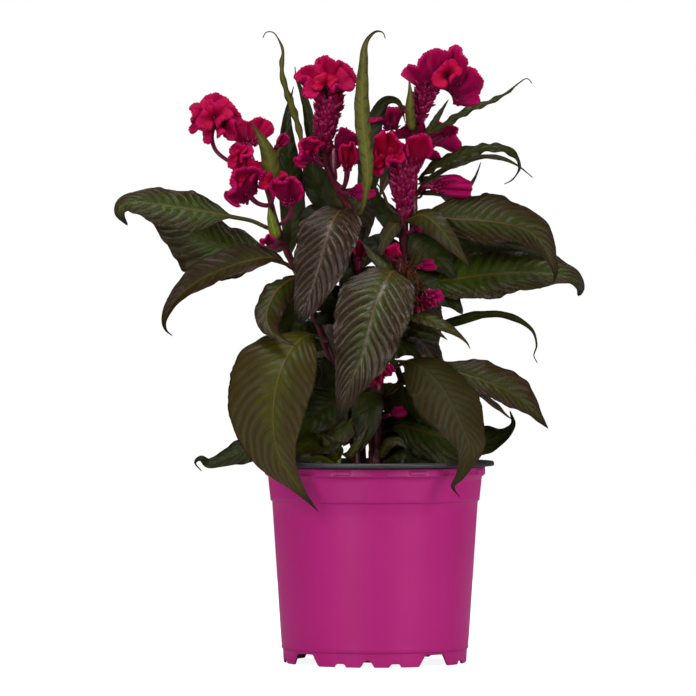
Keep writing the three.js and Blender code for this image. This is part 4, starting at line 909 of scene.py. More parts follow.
# Root, then midrib to tip; half is the widest half-width; face is the way the upper side looks.
LEAVES = {
    "leaf_left_high": {"on": "stem_left", "half": 18, "face": (0.1, -0.8, 0.6), "look": GREEN,
        "relief": 1.5, "drop": (0.25, 0), "petiole": 0.28, "pinch": 0.85,
        "points": [(-80, 0, 334), (-95, -2, 340), (-110, -4, 343), (-125, -6, 346),
            (-145, -9, 349), (-165, -12, 352), (-182, -15, 354), (-193, -16, 352),
            (-196, -16, 346), (-190, -16, 336)]},
    "leaf_left_back": {"on": "stem_left", "half": 23, "look": GREEN, "relief": 1.3,
        "drop": (0.3, 0), "skew": 1.4, "sides": (1.2, 1.05), "points": [(-66, 12, 306),
        (-85, 20, 314), (-105, 24, 317), (-125, 24, 323), (-145, 22, 333), (-165, 20, 343),
        (-182, 18, 351)]},
    "leaf_left_front": {"on": "stem_left", "half": 13.5, "face": (0.1, -0.75, 0.65),
        "look": BROWN, "relief": 1.1, "fold": 0.5, "curl": 0.15,
        "points": [(-64, -2, 303), (-78, -12, 311), (-100, -20, 308),
            (-120, -24, 301), (-140, -26, 290), (-154, -26, 277), (-161, -25, 263),
            (-160, -24, 256), (-155, -23, 251)]},
    "leaf_bronze": {"on": "stem_centre", "half": 24, "face": (-0.25, -0.95, 0.2),
        "look": AGED, "relief": 1.5, "skew": 0.85, "pinch": 0.55,
        "points": [(-24, 0, 347), (-27, -8, 347), (-33, -22, 338),
            (-38, -32, 322), (-44, -37, 300), (-50, -38, 282), (-57, -36, 266),
            (-60, -34, 262)]},
    "leaf_hooked": {"on": "stem_left", "half": 10.5, "face": (-0.3, -0.95, 0.1), "look": DEEP,
        "drop": (0.9, 0), "frill": 0.08,
        "points": [(-58, 0, 297), (-66, -12, 294), (-76, -26, 285), (-83, -38, 268),
            (-80, -48, 256), (-71, -56, 249), (-60, -62, 243)]},
    "leaf_front_left": {"on": "stem_left", "half": 32, "fold": 0.16, "face": (-0.2, -0.95, 0.2),
        "look": BROAD, "relief": 0.7, "skew": 1.05, "pinch": 1.3, "wave": 0.05,
        "drop": (0.35, 0), "sides": (0.8, 1.22), "points": [(-38, -4, 248), (-50, -22, 252),
            (-62, -45, 243), (-72, -62, 224), (-77, -72, 198), (-76, -80, 174), (-70, -87, 156),
            (-58, -94, 138), (-43, -98, 119)]},
    "leaf_left_shaded": {"on": "stem_left", "half": 15, "face": (0, -0.6, 0.8), "look": SHADED,
        "points": [(-42, 20, 240), (-52, 26, 252), (-65, 32, 252), (-85, 36, 238),
            (-96, 36, 224)]},
    "leaf_front_centre": {"on": "stem_main", "half": 29, "fold": 0.25,
        "face": (-0.1, -0.97, 0.2), "look": BRONZE, "relief": 1.6, "skew": 0.9,
        "pinch": 0.85, "points": [(17, -6, 300),
            (13, -18, 300), (7, -34, 291), (0, -45, 275), (-5, -50, 258), (-10, -51, 238),
            (-17, -50, 220), (-23, -47, 203), (-28, -43, 186)]},
    "leaf_low_left": {"on": "stem_left", "half": 14, "face": (0, -0.7, 0.7), "petiole": 0.2,
        "look": SHADED, "points": [(-22, 2, 172), (-40, -2, 177), (-65, -6, 174),
            (-90, -10, 167), (-112, -14, 158), (-128, -16, 153), (-134, -16, 157),
            (-138, -15, 154), (-133, -15, 147)]},
    "leaf_low_front": {"on": "stem_left", "half": 20, "face": (-0.2, -0.8, 0.55),
        "look": SHADED, "points": [(-22, -2, 196), (-29, -10, 201), (-38, -17, 197),
            (-49, -24, 188), (-59, -30, 176), (-67, -34, 163)]},
    "leaf_front_right": {"on": "stem_main", "half": 25, "fold": 0.2, "face": (0.2, -0.95, 0.2),
        "look": LIMP, "relief": 0.4, "skew": 0.9, "pinch": 1.2, "drop": (0.25, 0.1),
        "points": [(12, -6, 226), (24, -14, 231), (34, -22, 228),
            (49, -38, 214), (58, -52, 199), (65, -64, 184), (71, -76, 169), (69, -84, 158),
            (63, -89, 145), (58, -92, 138), (63, -94, 130)]},
    "leaf_right_low": {"on": "stem_main", "half": 19, "petiole": 0.14, "look": DEEP,
        "relief": 0.8, "skew": 1.75, "sides": (1.05, 0.7),
        "points": [(12, 0, 232), (30, 0, 231), (50, -10, 227), (70, -17, 221), (90, -20, 214),
            (106, -20, 206), (118, -19, 196), (126, -18, 187), (133, -18, 180)]},
    "leaf_low_right": {"on": "stem_main", "half": 26, "face": (0, -0.75, 0.65), "skew": 0.8,
        "look": SHADED, "points": [(6, 2, 176), (18, 4, 182), (38, 5, 177), (62, 4, 171),
            (84, 2, 170), (99, -1, 174), (107, -3, 183), (104, -4, 194)]},
    "leaf_right_high": {"on": "branch_right", "half": 23, "face": (0, -0.8, 0.6),
        "look": DEEP, "relief": 1.2, "drop": (0, 0.7), "sides": (1.25, 0.6),
        "points": [(32, 10, 342), (44, -2, 344), (58, -10, 341), (75, -15, 340),
            (95, -17, 338), (112, -17, 334), (125, -16, 326), (133, -15, 314), (138, -14, 300),
            (137, -14, 292)]},
    "leaf_right_mid": {"on": "branch_right", "half": 22, "face": (0, -0.85, 0.5),
        "look": GREEN, "relief": 1.2, "pinch": 0.8, "sides": (1.5, 0.95),
        "points": [(26, 12, 292), (45, 14, 293), (62, 14, 295), (82, 14, 298), (105, 12, 300),
            (128, 10, 300), (143, 8, 298), (153, 7, 295), (158, 6, 288), (157, 6, 282)]},
    "leaf_right_front": {"on": "stem_main", "half": 9.5, "face": (0.2, -0.95, 0.2),
        "look": DEEP, "petiole": 0.2, "drop": (0, 0.5),
        "points": [(26, -8, 341), (36, -22, 344), (48, -34, 335),
            (60, -40, 320), (68, -42, 309), (73, -41, 301)]},
    "leaf_right_slender": {"on": "stem_main", "half": 6, "face": (0, -0.6, 0.8),
        "look": SHADED, "points": [(18, 8, 260), (40, 16, 258), (60, 18, 262), (78, 16, 267),
            (97, 14, 268), (112, 12, 263), (122, 11, 255), (125, 10, 244), (123, 10, 236),
            (126, 10, 230)]},
    "leaf_tip_right": {"on": "branch_right", "half": 3.8, "face": (0, -0.7, 0.7),
        "look": SHADED, "frill": 0.3, "relief": 2,
        "points": [(33, 6, 402), (42, -2, 408), (55, -8, 415), (70, -12, 424), (88, -14, 431),
            (103, -14, 439), (111, -14, 446), (117, -14, 449), (121, -14, 445)]},
    "leaf_upper_right": {"on": "branch_right", "half": 8, "face": (0, -0.6, 0.8),
        "look": SHADED, "frill": 0.15, "relief": 1.5,
        "points": [(34, 12, 373), (42, 4, 380), (55, -2, 387), (70, -6, 392), (86, -8, 396),
            (100, -8, 395), (109, -8, 388), (111, -7, 381), (106, -7, 372), (99, -6, 368)]},
    "leaf_upper_back": {"on": "branch_right", "half": 5, "face": (0, -0.5, 0.85),
        "look": SHADED, "points": [(36, 26, 370), (60, 34, 384), (85, 34, 391), (100, 30, 389),
            (112, 26, 383), (123, 22, 374)]},
    "leaf_tall_left": {"on": "stem_centre", "half": 3.2, "face": (-0.6, -0.8, 0.1),
        "look": OLIVE, "frill": 0.3,
        "points": [(-45, 6, 390), (-55, 8, 399), (-60, 9, 416), (-66, 9, 434), (-71, 8, 450),
            (-72, 7, 462), (-71, 6, 471), (-74, 5, 480), (-79, 5, 486), (-84, 5, 486),
            (-87, 5, 481)]},
    "leaf_tall_centre": {"on": "stem_centre", "half": 6, "face": (0.2, -0.95, 0.1),
        "look": OLIVE, "frill": 0.22, "relief": 1.4, "skew": 1.5,
        "points": [(-14, -2, 341), (-10, -16, 348), (-7, -26, 362), (-6, -29, 380),
            (-8, -29, 400), (-10, -27, 420), (-10, -24, 440), (-9, -22, 460), (-8, -20, 473),
            (-5, -19, 480), (1, -19, 485), (6, -19, 484), (8, -19, 479)]},
}

# Leaves round the back: direction in degrees from the front, reach, height at root, crest, tip.
BACK_LEAVES = {
    "leaf_back_1": {"on": "branch_right", "turn": 128, "reach": 128, "heights": (318, 342, 290),
        "half": 20, "look": GREEN},
    "leaf_back_2": {"on": "stem_main", "turn": 165, "reach": 132, "heights": (268, 292, 208),
        "half": 23, "look": BRONZE},
    "leaf_back_3": {"on": "stem_centre", "turn": 228, "reach": 126, "heights": (300, 330, 304),
        "half": 20, "look": GREEN},
    "leaf_back_4": {"on": "stem_centre", "turn": 200, "reach": 132, "heights": (246, 268, 190),
        "half": 23, "look": BRONZE},
    "leaf_back_5": {"on": "stem_left", "turn": 250, "reach": 86, "heights": (182, 205, 172),
        "half": 17, "look": SHADED},
    "leaf_back_6": {"on": "stem_main", "turn": 186, "reach": 136, "heights": (188, 212, 160),
        "half": 22, "look": SHADED},
    "leaf_back_7": {"on": "stem_main", "turn": 118, "reach": 122, "heights": (200, 224, 186),
        "half": 20, "look": GREEN},
    "leaf_back_8": {"on": "stem_centre", "turn": 178, "reach": 108, "heights": (334, 366, 308),
        "half": 17, "look": GREEN},
    "leaf_back_9": {"on": "branch_right", "turn": 150, "reach": 104, "heights": (352, 376, 330),
        "half": 15, "look": BRONZE},
}

# Small leaves and bracts that spring straight from their stem.
BRACTS = {
    "stem_main": [
        {"on": "branch_right", "half": 4, "face": (0.3, -0.9, 0), "look": OLIVE,
            "points": [(29, 6, 412), (27, -1, 424), (27, -3, 440), (26, -3, 452)]},
        {"on": "stem_main", "half": 8, "face": (0.1, -0.7, 0.7), "look": GREEN,
            "points": [(22, -4, 269), (36, -18, 266), (50, -26, 260), (62, -28, 253),
                (70, -28, 246), (73, -28, 241)]},
        {"on": "stem_main", "half": 9, "look": GREEN, "face": (0, -0.7, 0.7),
            "points": [(16, -4, 263), (24, -10, 264), (34, -13, 261), (46, -13, 255),
                (56, -11, 248)]},
    ],
    "stem_centre": [
        {"on": "stem_centre", "half": 9, "face": (-0.1, -0.9, 0.2), "look": SHADED,
            "points": [(-12, 17, 352), (-5, 24, 374), (-4, 24, 400), (1, 23, 421),
                (9, 20, 434), (18, 18, 433), (24, 17, 416)]},
        {"on": "stem_centre", "half": 8, "face": (0, -0.8, 0.4), "look": SHADED,
            "points": [(-24, 14, 352), (-38, 24, 366), (-48, 30, 378), (-58, 34, 388)]},
        {"on": "stem_centre", "half": 5, "face": (-0.4, -0.9, 0), "look": SHADED,
            "points": [(-40, 12, 386), (-48, 20, 404), (-53, 22, 430), (-57, 22, 442),
                (-61, 22, 452), (-62, 22, 461)]},
    ],
    "stem_left": [
        {"on": "stem_left", "half": 10, "face": (0, -0.95, 0.1), "look": SHADED,
            "points": [(-66, 14, 316), (-64, 22, 340), (-65, 27, 375), (-68, 30, 400),
                (-68, 31, 424), (-63, 31, 446)]},
        {"on": "stem_left", "half": 7, "face": (-0.2, -0.95, 0), "look": OLIVE,
            "points": [(-82, -6, 366), (-80, -14, 376), (-82, -18, 391), (-88, -19, 404),
                (-96, -19, 416)]},
        {"on": "stem_left", "half": 3, "face": (0, -1, 0), "look": OLIVE,
            "points": [(-80, 6, 382), (-75, 9, 394), (-71, 10, 404), (-67, 10, 413)]},
    ],
    "shoot": [
        {"on": "shoot", "half": 3, "face": (0, -0.8, 0.6), "look": SHADED,
            "points": [(-33, -15, 160), (-40, -17, 169), (-46, -18, 177)]},
        {"on": "shoot", "half": 4.5, "face": (0.2, -0.9, 0.2), "look": GREEN,
            "points": [(-22, -16, 170), (-18, -19, 182), (-10, -20, 191), (-2, -20, 196)]},
        {"on": "shoot", "half": 3.5, "face": (0, -0.9, 0.3), "look": GREEN,
            "points": [(-20, -20, 160), (-12, -24, 171), (-5, -25, 184)]},
    ],
}

# More small leaves on the sides and the back, given as those of BACK_LEAVES are.
BACK_BRACTS = {
    "stem_main": [
        {"on": "stem_main", "turn": 142, "reach": 92, "heights": (232, 254, 212), "half": 14,
            "look": GREEN},
        {"on": "branch_right", "turn": 200, "reach": 78, "heights": (370, 392, 360),
            "half": 11, "look": BRONZE},
    ],
    "stem_centre": [
        {"on": "stem_centre", "turn": 148, "reach": 76, "heights": (298, 318, 282), "half": 13,
            "look": BRONZE},
        {"on": "stem_centre", "turn": 216, "reach": 88, "heights": (212, 234, 190), "half": 15,
            "look": GREEN},
        {"on": "stem_centre", "turn": 192, "reach": 62, "heights": (312, 336, 308), "half": 11,
            "look": GREEN},
    ],
    "stem_left": [
        {"on": "stem_left", "turn": 205, "reach": 78, "heights": (276, 298, 256), "half": 13,
            "look": GREEN},
    ],
}

# Leaves in the shaded heart of the plant, behind the large ones.
INNER = [
    {"on": "stem_left", "half": 21, "face": (-0.2, -0.8, 0.5), "look": GREEN, "relief": 0.5,
        "points": [(-21, 0, 188), (-32, -9, 183), (-45, -16, 174), (-58, -22, 164),
            (-68, -25, 156)]},
    {"on": "stem_centre", "half": 15, "face": (0, -0.9, 0.3), "look": GREEN, "relief": 0.5,
        "points": [(-13, 4, 196), (-16, -8, 198), (-21, -16, 190), (-28, -21, 176),
            (-36, -23, 160)]},
    {"on": "branch_right", "half": 9, "face": (0, -0.9, 0.4), "look": SHADED,
        "points": [(40, 17, 318), (64, 19, 324), (92, 18, 324), (118, 15, 319), (134, 13, 310)]},
    {"on": "stem_centre", "half": 10, "face": (0, -0.9, 0.4), "look": SHADED,
        "points": [(-14, 8, 286), (-20, 0, 294), (-27, -4, 300), (-34, -6, 302)]},
    {"on": "stem_left", "half": 9, "face": (0, -0.9, 0.4), "look": SHADED,
        "points": [(-30, 6, 212), (-33, -2, 219), (-37, -8, 226), (-40, -12, 236)]},
    {"on": "shoot", "half": 8, "face": (-0.1, -0.8, 0.5), "look": GREEN, "relief": 0.4,
        "points": [(-29, -15, 150), (-38, -22, 157), (-49, -28, 159), (-60, -32, 157)]},
    {"on": "shoot", "half": 7, "face": (-0.1, -0.9, 0.3), "look": GREEN, "relief": 0.4,
        "points": [(-29, -15, 156), (-31, -21, 162), (-36, -24, 170), (-42, -25, 177)]},
    {"on": "stem_left", "half": 20, "face": (0, -0.85, 0.5), "look": SHADED,
        "points": [(-34, 8, 228), (-40, 4, 222), (-46, -2, 206), (-50, -6, 188),
            (-52, -8, 170)]},
    {"on": "stem_main", "half": 23, "face": (0, -0.85, 0.5), "look": SHADED, "skew": 0.8,
        "points": [(4, 4, 168), (14, 9, 175), (30, 13, 176), (50, 15, 170), (68, 15, 165),
            (86, 13, 161)]},
    {"on": "stem_main", "half": 13, "face": (0.2, -0.85, 0.5), "look": SHADED,
        "points": [(8, 2, 196), (18, 6, 202), (30, 8, 198), (42, 8, 188), (50, 7, 176)]},
    {"on": "stem_main", "half": 2.6, "face": (0, -1, 0.1), "look": SHADED,
        "points": [(8, -4, 236), (15, -8, 230), (20, -10, 216), (21, -10, 202)]},
    {"on": "stem_main", "half": 2.2, "face": (0, -1, 0.1), "look": SHADED,
        "points": [(7, -4, 204), (14, -9, 212), (24, -11, 216), (33, -11, 224)]},
    {"on": "stem_main", "half": 3, "face": (0, -1, 0.1), "look": SHADED,
        "points": [(6, 2, 182), (-4, 0, 190), (-12, -2, 204), (-16, -2, 218)]},
    {"on": "stem_main", "half": 14, "face": (0, -0.85, 0.5), "look": SHADED,
        "points": [(19, 3, 290), (30, 8, 293), (46, 11, 288), (60, 11, 278), (68, 10, 268)]},
    {"on": "stem_main", "half": 13, "face": (0, -0.85, 0.5), "look": SHADED,
        "points": [(12, 3, 262), (22, 6, 264), (36, 7, 258), (48, 6, 247)]},
    {"on": "stem_centre", "half": 14, "face": (0, -0.9, 0.3), "look": SHADED,
        "points": [(-18, 12, 344), (-26, 18, 352), (-38, 22, 362), (-48, 24, 378),
            (-54, 24, 394)]},
    {"on": "stem_centre", "half": 13, "face": (0, -0.8, 0.6), "look": SHADED,
        "points": [(-15, 11, 330), (-28, 15, 342), (-44, 18, 348), (-60, 19, 343)]},
    {"on": "stem_main", "half": 6.5, "face": (-0.3, -0.9, 0), "look": DEEP,
        "points": [(21, -2, 337), (16, -8, 337), (9, -12, 328), (4, -13, 312)]},
    {"on": "stem_main", "half": 4.5, "face": (0.3, -0.9, 0.2), "look": GREEN,
        "points": [(17, -2, 297), (9, -9, 303), (-2, -12, 313), (-11, -13, 325)]},
    {"on": "stem_main", "half": 12, "face": (0, -0.85, 0.5), "look": SHADED,
        "points": [(14, 3, 284), (5, 8, 293), (-8, 10, 296), (-22, 10, 290)]},
    {"on": "stem_centre", "half": 12, "face": (0, -0.85, 0.5), "look": SHADED,
        "points": [(-13, 12, 254), (-22, 8, 265), (-34, 4, 267), (-46, 2, 260)]},
    {"on": "stem_centre", "half": 12, "face": (0, -0.85, 0.5), "look": SHADED,
        "points": [(-13, 12, 300), (-22, 14, 312), (-34, 14, 316), (-48, 12, 310)]},
    {"on": "stem_main", "half": 9, "face": (0, -0.9, 0.3), "look": SHADED,
        "points": [(22, 4, 328), (14, 12, 340), (4, 16, 352), (-4, 18, 368)]},
    {"on": "branch_right", "half": 8, "face": (0, -0.9, 0.3), "look": SHADED,
        "points": [(30, 20, 350), (22, 26, 362), (16, 28, 378), (12, 28, 394)]},
    {"on": "stem_left", "half": 11, "face": (0, -0.8, 0.6), "look": SHADED,
        "points": [(-50, 6, 276), (-57, -2, 273), (-67, -8, 262), (-76, -10, 249)]},
    {"on": "stem_centre", "half": 13, "face": (0.1, -0.9, 0.3), "look": SHADED,
        "points": [(-10, 4, 206), (-8, -10, 206), (-6, -18, 194), (-8, -22, 176),
            (-12, -22, 162)]},
    {"on": "stem_main", "half": 11, "face": (-0.1, -0.9, 0.3), "look": SHADED,
        "points": [(-2, 6, 172), (-10, 8, 186), (-16, 8, 202), (-19, 6, 222)]},
    {"on": "stem_main", "half": 15, "face": (0, -0.85, 0.5), "look": SHADED,
        "points": [(24, 5, 314), (34, 10, 320), (48, 12, 312), (62, 11, 296)]},
    {"on": "stem_centre", "half": 15, "face": (0, -0.85, 0.5), "look": SHADED,
        "points": [(-14, 12, 264), (-24, 6, 276), (-36, 2, 279), (-50, -2, 271)]},
    {"on": "stem_main", "half": 13, "face": (0, -0.85, 0.5), "look": SHADED,
        "points": [(18, 3, 304), (9, 8, 317), (-2, 10, 321), (-15, 10, 315)]},
    {"on": "stem_main", "half": 8, "face": (0.1, -0.9, 0.3), "look": SHADED,
        "points": [(5, -2, 232), (12, 0, 240), (24, 0, 242), (36, -2, 234)]},
    {"on": "stem_main", "half": 5, "face": (0.1, -0.9, 0.3), "look": GREEN,
        "points": [(4, -4, 160), (10, -12, 168), (18, -16, 170), (26, -18, 164)]},
    {"on": "stem_main", "half": 15, "face": (0, -0.85, 0.5), "look": SHADED,
        "points": [(4, 2, 154), (13, -1, 164), (26, -4, 165), (40, -6, 159), (52, -7, 153)]},
    {"on": "stem_centre", "half": 12, "face": (0, -0.9, 0.4), "look": SHADED,
        "points": [(-12, 12, 178), (-24, 10, 186), (-38, 8, 180), (-50, 6, 164)]},
    {"on": "stem_main", "half": 1.3, "face": (0, -1, 0.2), "look": SHADED,
        "points": [(16, -6, 346), (10, -8, 352), (6, -9, 362), (-1, -9, 372)]},
    {"on": "branch_right", "half": 2.6, "face": (0, -0.9, 0.4), "look": SHADED,
        "points": [(44, 6, 362), (58, 2, 361), (70, 0, 364), (77, -1, 373), (82, -2, 386)]},
    {"on": "branch_right", "half": 3.4, "face": (-0.3, -0.9, 0.2), "look": SHADED,
        "frill": 0.15, "points": [(36, 4, 402), (41, -1, 408), (47, -4, 418), (57, -5, 434)]},
    {"on": "stem_left", "half": 4.5, "face": (-0.3, -0.9, 0.2), "look": FRESH,
        "points": [(-76, -2, 327), (-78, -5, 334), (-80, -6, 342), (-82, -5, 352)]},
    {"on": "stem_main", "half": 4.5, "face": (0.2, -0.9, 0.2), "look": GREEN,
        "points": [(26, -6, 303), (31, -12, 308), (35, -15, 315), (37, -16, 322)]},
]


def sepals():
    """Wiry sepals that curl out from under the small crests of the main stem, as one piece."""
    bm = new_skin()
    draw = seeded(77)
    for x, y, z in ((25, -11, 303), (29, -12, 289), (23, -8, 294), (33, -12, 281)):
        for _ in range(15):
            turn = 2 * math.pi * draw()
            reach = mix(5, 14, draw())
            out = Vector((math.cos(turn), -0.5, math.sin(turn) * 0.8)).normalized()
            bow = Vector((0, -0.3, mix(-0.8, 0.6, draw())))
            base = Vector((x, y, z)) + out
            line = Line([base, base + (out + bow * 0.3) * reach * 0.4,
                base + (out + bow * 0.8) * reach * 0.75, base + (out + bow * 1.6) * reach])
            tube(bm, line, lambda t: mix(0.8, 0.3, t), 6, 1.5)
    finish_piece("sepals", bm, [SEPAL], "leaf")


def back_leaf(each):
    """A leaf of the back, with the points of its midrib."""
    foot, crown, tip = each["heights"]
    turn = math.radians(each["turn"])
    out = (math.sin(turn), -math.cos(turn))
    profile = [(0.1, 0.3), (0.22, 0.8), (0.38, 1), (0.55, 0.86), (0.72, 0.58), (0.86, 0.28),
        (0.96, 0.06), (1, 0)]
    root = LINES[each["on"]].nearest(Vector((0, 0, foot)))
    points = [
        (root.x + out[0] * each["reach"] * share, root.y + out[1] * each["reach"] * share,
            mix(foot if i < 2 else tip, crown, height))
        for i, (share, height) in enumerate(profile)
    ]
    return {**each, "points": points, "face": (out[0] * 0.35, out[1] * 0.35, 0.9),
        "petiole": each.get("petiole", 0.12)}


def every_leaf():
    """Every leaf of the plant, with the points of its midrib."""
    for each in LEAVES.values():
        yield each
    for each in BACK_LEAVES.values():
        yield back_leaf(each)
    for group in BRACTS.values():
        yield from group
    for group in BACK_BRACTS.values():
        for each in group:
            yield back_leaf(each)
    yield from INNER


def leaf(name, node, each, seed):
    """A blade with its midrib and petiole, one closed skin, upper side first."""
    half = each["half"]
    slender = half < SLENDER
    petiole = 0.02 if slender else each.get("petiole", 0.1)
    fold = each.get("fold", 0.22)
    curl = each.get("curl", 0.25)
    wave = each.get("wave", 0.1)
    relief = each.get("relief", 1.0)
    frilled = each.get("frill", 0.03)
    skew = each.get("skew", 1)  # under 1 the blade is widest nearer its foot, over 1 blunter
    pinch = each.get("pinch", 1)  # under 1 it is fuller at both its ends, over 1 slimmer
    drop = each.get("drop", (0, 0))  # how steeply each half turns down off the midrib
    sides = each.get("sides", (1, 1))  # how wide each half is
    root = LINES[each["on"]].nearest(Vector(each["points"][0]))
    line = Line([root, *each["points"]])
    frames = Frames(line, each.get("face", (0, -0.8, 0.6)))
    girth = clamp(half * 0.07, 0.5, 1.6)
    blade_length = line.length * (1 - petiole)
    # millimetres to a row, and columns to a millimetre of half-width
    pitch, fine = (1.35, 2.2 if relief >= 1.5 else 1.4) if node else (2.2, 1.0)
    rows = int(clamp(line.length / pitch, 30, 150))
    columns = int(clamp(half * fine, 10, 60)) // 2 * 2
    veins = clamp(blade_length / VEIN_STEP, 7, 18)
    slant = 0.9 * half / blade_length
    swell = clamp(half * 0.03, 0.15, 0.75) * relief
    phase = 6.28 * seeded(seed)()

    def row(i):
        share = i / rows
        u = max((share - petiole) / (1 - petiole), 0)
        calm = width_share(u**skew) ** pinch
        return share, u, calm, frames.at(share)

    rows_of = [row(i) for i in range(rows + 1)]

    def across_of(k):
        # upper side from left to right, then the underside back again
        upper = k <= columns
        step = k if upper else 2 * columns + 1 - k
        t = 2 * step / columns - 1
        return upper, math.copysign(abs(t) ** 1.15, t)

    def vein_phase(u, v):
        out = abs(v)
        lean = slant * (0.6 * out + 0.6 * out**2)
        stray = 0.5 * noise.noise(Vector((u * 4, v * 1.2, seed)))  # no two veins run quite alike
        return veins * (u - lean) + stray + (0.4 if v < 0 else 0)

    def place(i, k):
        share, u, calm, (at, side, normal) = rows_of[i]
        if i in (0, rows):
            return at
        upper, v = across_of(k)
        on_blade = ease(share, petiole * 0.6, petiole + 0.06)
        width = max(half * calm, 0.4 * on_blade, girth * (1 - on_blade))
        out = abs(v)
        ragged = 0.045 * noise.noise(Vector((u * 18, v, seed)))
        ragged += 0.02 * noise.noise(Vector((u * 60, v, seed)))
        ragged = 1 + ragged * ease(out, 0.75, 1)
        across = v * width * ragged * mix(1, sides[v > 0], on_blade)
        ripple = wave * half * v * v * math.sin(2 * math.pi * WAVES * u
            + 1.6 * math.copysign(1, v))
        frill = frilled * half * out**3 * math.sin(2 * math.pi * FRILLS * u + phase
            + 2 * math.copysign(1, v) + 2.5 * noise.noise(Vector((u * 5, v, seed))))
        rise = (fold - drop[v > 0]) * abs(across) - curl * across * across / half
        course = vein_phase(u, v)
        quilt = 1.8 * abs(math.sin(math.pi * course)) ** 0.9 - 0.95
        # wrinkles that run with the side veins
        quilt += 0.7 * noise.noise(Vector((course * 0.9, out * 1.6, seed)))
        quilt += 0.15 * noise.noise(Vector((course * 2.5, out * 2.0, seed + 0.5)))
        quilt *= swell * ease(out, 0.03, 0.25) * ease(out, 1.1, 0.8) * ease(u, 1.05, 0.8)
        pucker = 0.016 * half * relief * noise.noise(at / 11 + Vector((v * 2, 0, seed)))
        middle = (rise + (ripple + frill + quilt * 1.3 + pucker) * calm) * on_blade
        # half the thickness: a thin blade with a midrib, or a round petiole
        rib_radius = girth * mix(1, 0.25, ease(u, 0, 0.9))
        rib = rib_radius * math.exp(-((across / max(rib_radius, 0.2)) ** 2))
        thin = BLADE / 2 * mix(1, 0.4, out**6)
        on_leaf = thin + rib * (0.25 if upper else 0.95)
        round_stalk = girth * math.sqrt(max(1 - v * v, 0)) * 0.9
        lift = mix(round_stalk, on_leaf, on_blade) * (1 if upper else -1)
        return at + side * across + normal * (middle + lift)

    def marks(i, k):
        _, u, calm, _ = rows_of[i]
        _, v = across_of(k) if k <= 2 * columns + 1 else across_of(0)
        return (u, v * 0.5 + 0.5), (vein_phase(u, v), v * half * calm / 10)

    bm = new_skin()
    wrapped(bm, rows, 2 * columns + 2, place, marks, columns)
    finish_piece(name, bm, [each["look"], UNDERSIDE], "leaf", *([node] if node else []))


# ---- blooms ----
def meander(waves, swing, seed):
    """A winding line at an even pace: how far along, and how far off its course."""
    phase = 2 * math.pi * seeded(seed)()
    count = 24 * waves
    line = [(0.0, 0.0)]
    for i in range(count):
        s = (i + 0.5) / count
        sway = 1 + 0.2 * math.sin(2 * math.pi * 1.3 * s + phase)
        heading = swing * sway * math.cos(2 * math.pi * waves * s)
        along, off = line[-1]
        line.append((along + math.cos(heading), off + math.sin(heading)))
    whole = line[-1][0]

    def wind(u):
        place = clamp(u) * count
        low = min(int(place), count - 1)
        a, b = line[low], line[low + 1]
        return tuple(mix(a[n], b[n], place - low) / whole for n in (0, 1))

    return wind


# what crest_surface takes of a crest's values
CREST_SHAPE = ("at", "axis", "size", "spread", "waves", "seed", "across", "cone", "foot", "lean",
    "lobed", "lobes", "notch", "roll", "swing")


def crest_surface(at, axis, size, spread, waves, seed, across=(1, 0, 0), cone=90, foot=0.2,
        lean=0.0, lobed=0.2, lobes=0, notch=0.3, roll=0.2, swing=SWING):
    """A ruffled fan (cone 90), or a rosette rolled into a cone; v runs from foot to edge.

    Its edge is cut into rounded lobes by notches; it rolls outwards, or forwards on a small fan.
    """
    up = Vector(axis).normalized()
    side = Vector(across)
    side = (side - up * side.dot(up)).normalized()
    depth = up.cross(side)
    wind = meander(waves, swing, seed)
    flat = cone == 90
    narrow = flat and spread < 90  # a small fan is one rounded lobe
    reach = 1 if flat else math.sin(math.radians(cone))
    rise = math.cos(math.radians(cone))
    arc = math.radians(spread)

    def surface(u, v):
        eased = v**1.9  # a crest folds most along its edge
        along, off = wind(u)
        turn = (mix(u, along, eased) - 0.5) * arc
        middle = 1 - (2 * u - 1) ** 2
        edge = 1 - 0.1 * (1 - middle) - lean * u * u
        edge -= 0.4 * (1 - middle) ** 2.5 * v if narrow else 0
        edge += lobed * v * noise.noise(Vector((u * waves * 1.1, 0.5, seed * 3.1)))
        lobe = abs(math.sin(math.pi * lobes * u + 0.7 * seed)) ** 0.4 if lobes else 1
        edge *= 1 - notch * (1 - lobe) * ease(v, 0.3, 1)
        r = size * mix(foot, edge, v)
        offset = off * eased * size * arc * reach
        lip = roll * size * ease(v, 0.55, 1.1) ** 2
        out = side * math.sin(turn) + (up if flat else depth) * math.cos(turn)
        if flat:
            curled = lip if narrow else 0
            offset *= mix(0.3, 1, middle) if narrow else 1
            return Vector(at) + out * (r - 0.3 * curled) + depth * (offset - 1.2 * curled)
        high = r * rise - offset * reach - lip * 0.8
        return Vector(at) + up * high + out * (r * reach + offset * rise + lip)

    pitch = size * arc * reach / waves
    return surface, min(PETAL, 0.18 * pitch), size * arc * reach


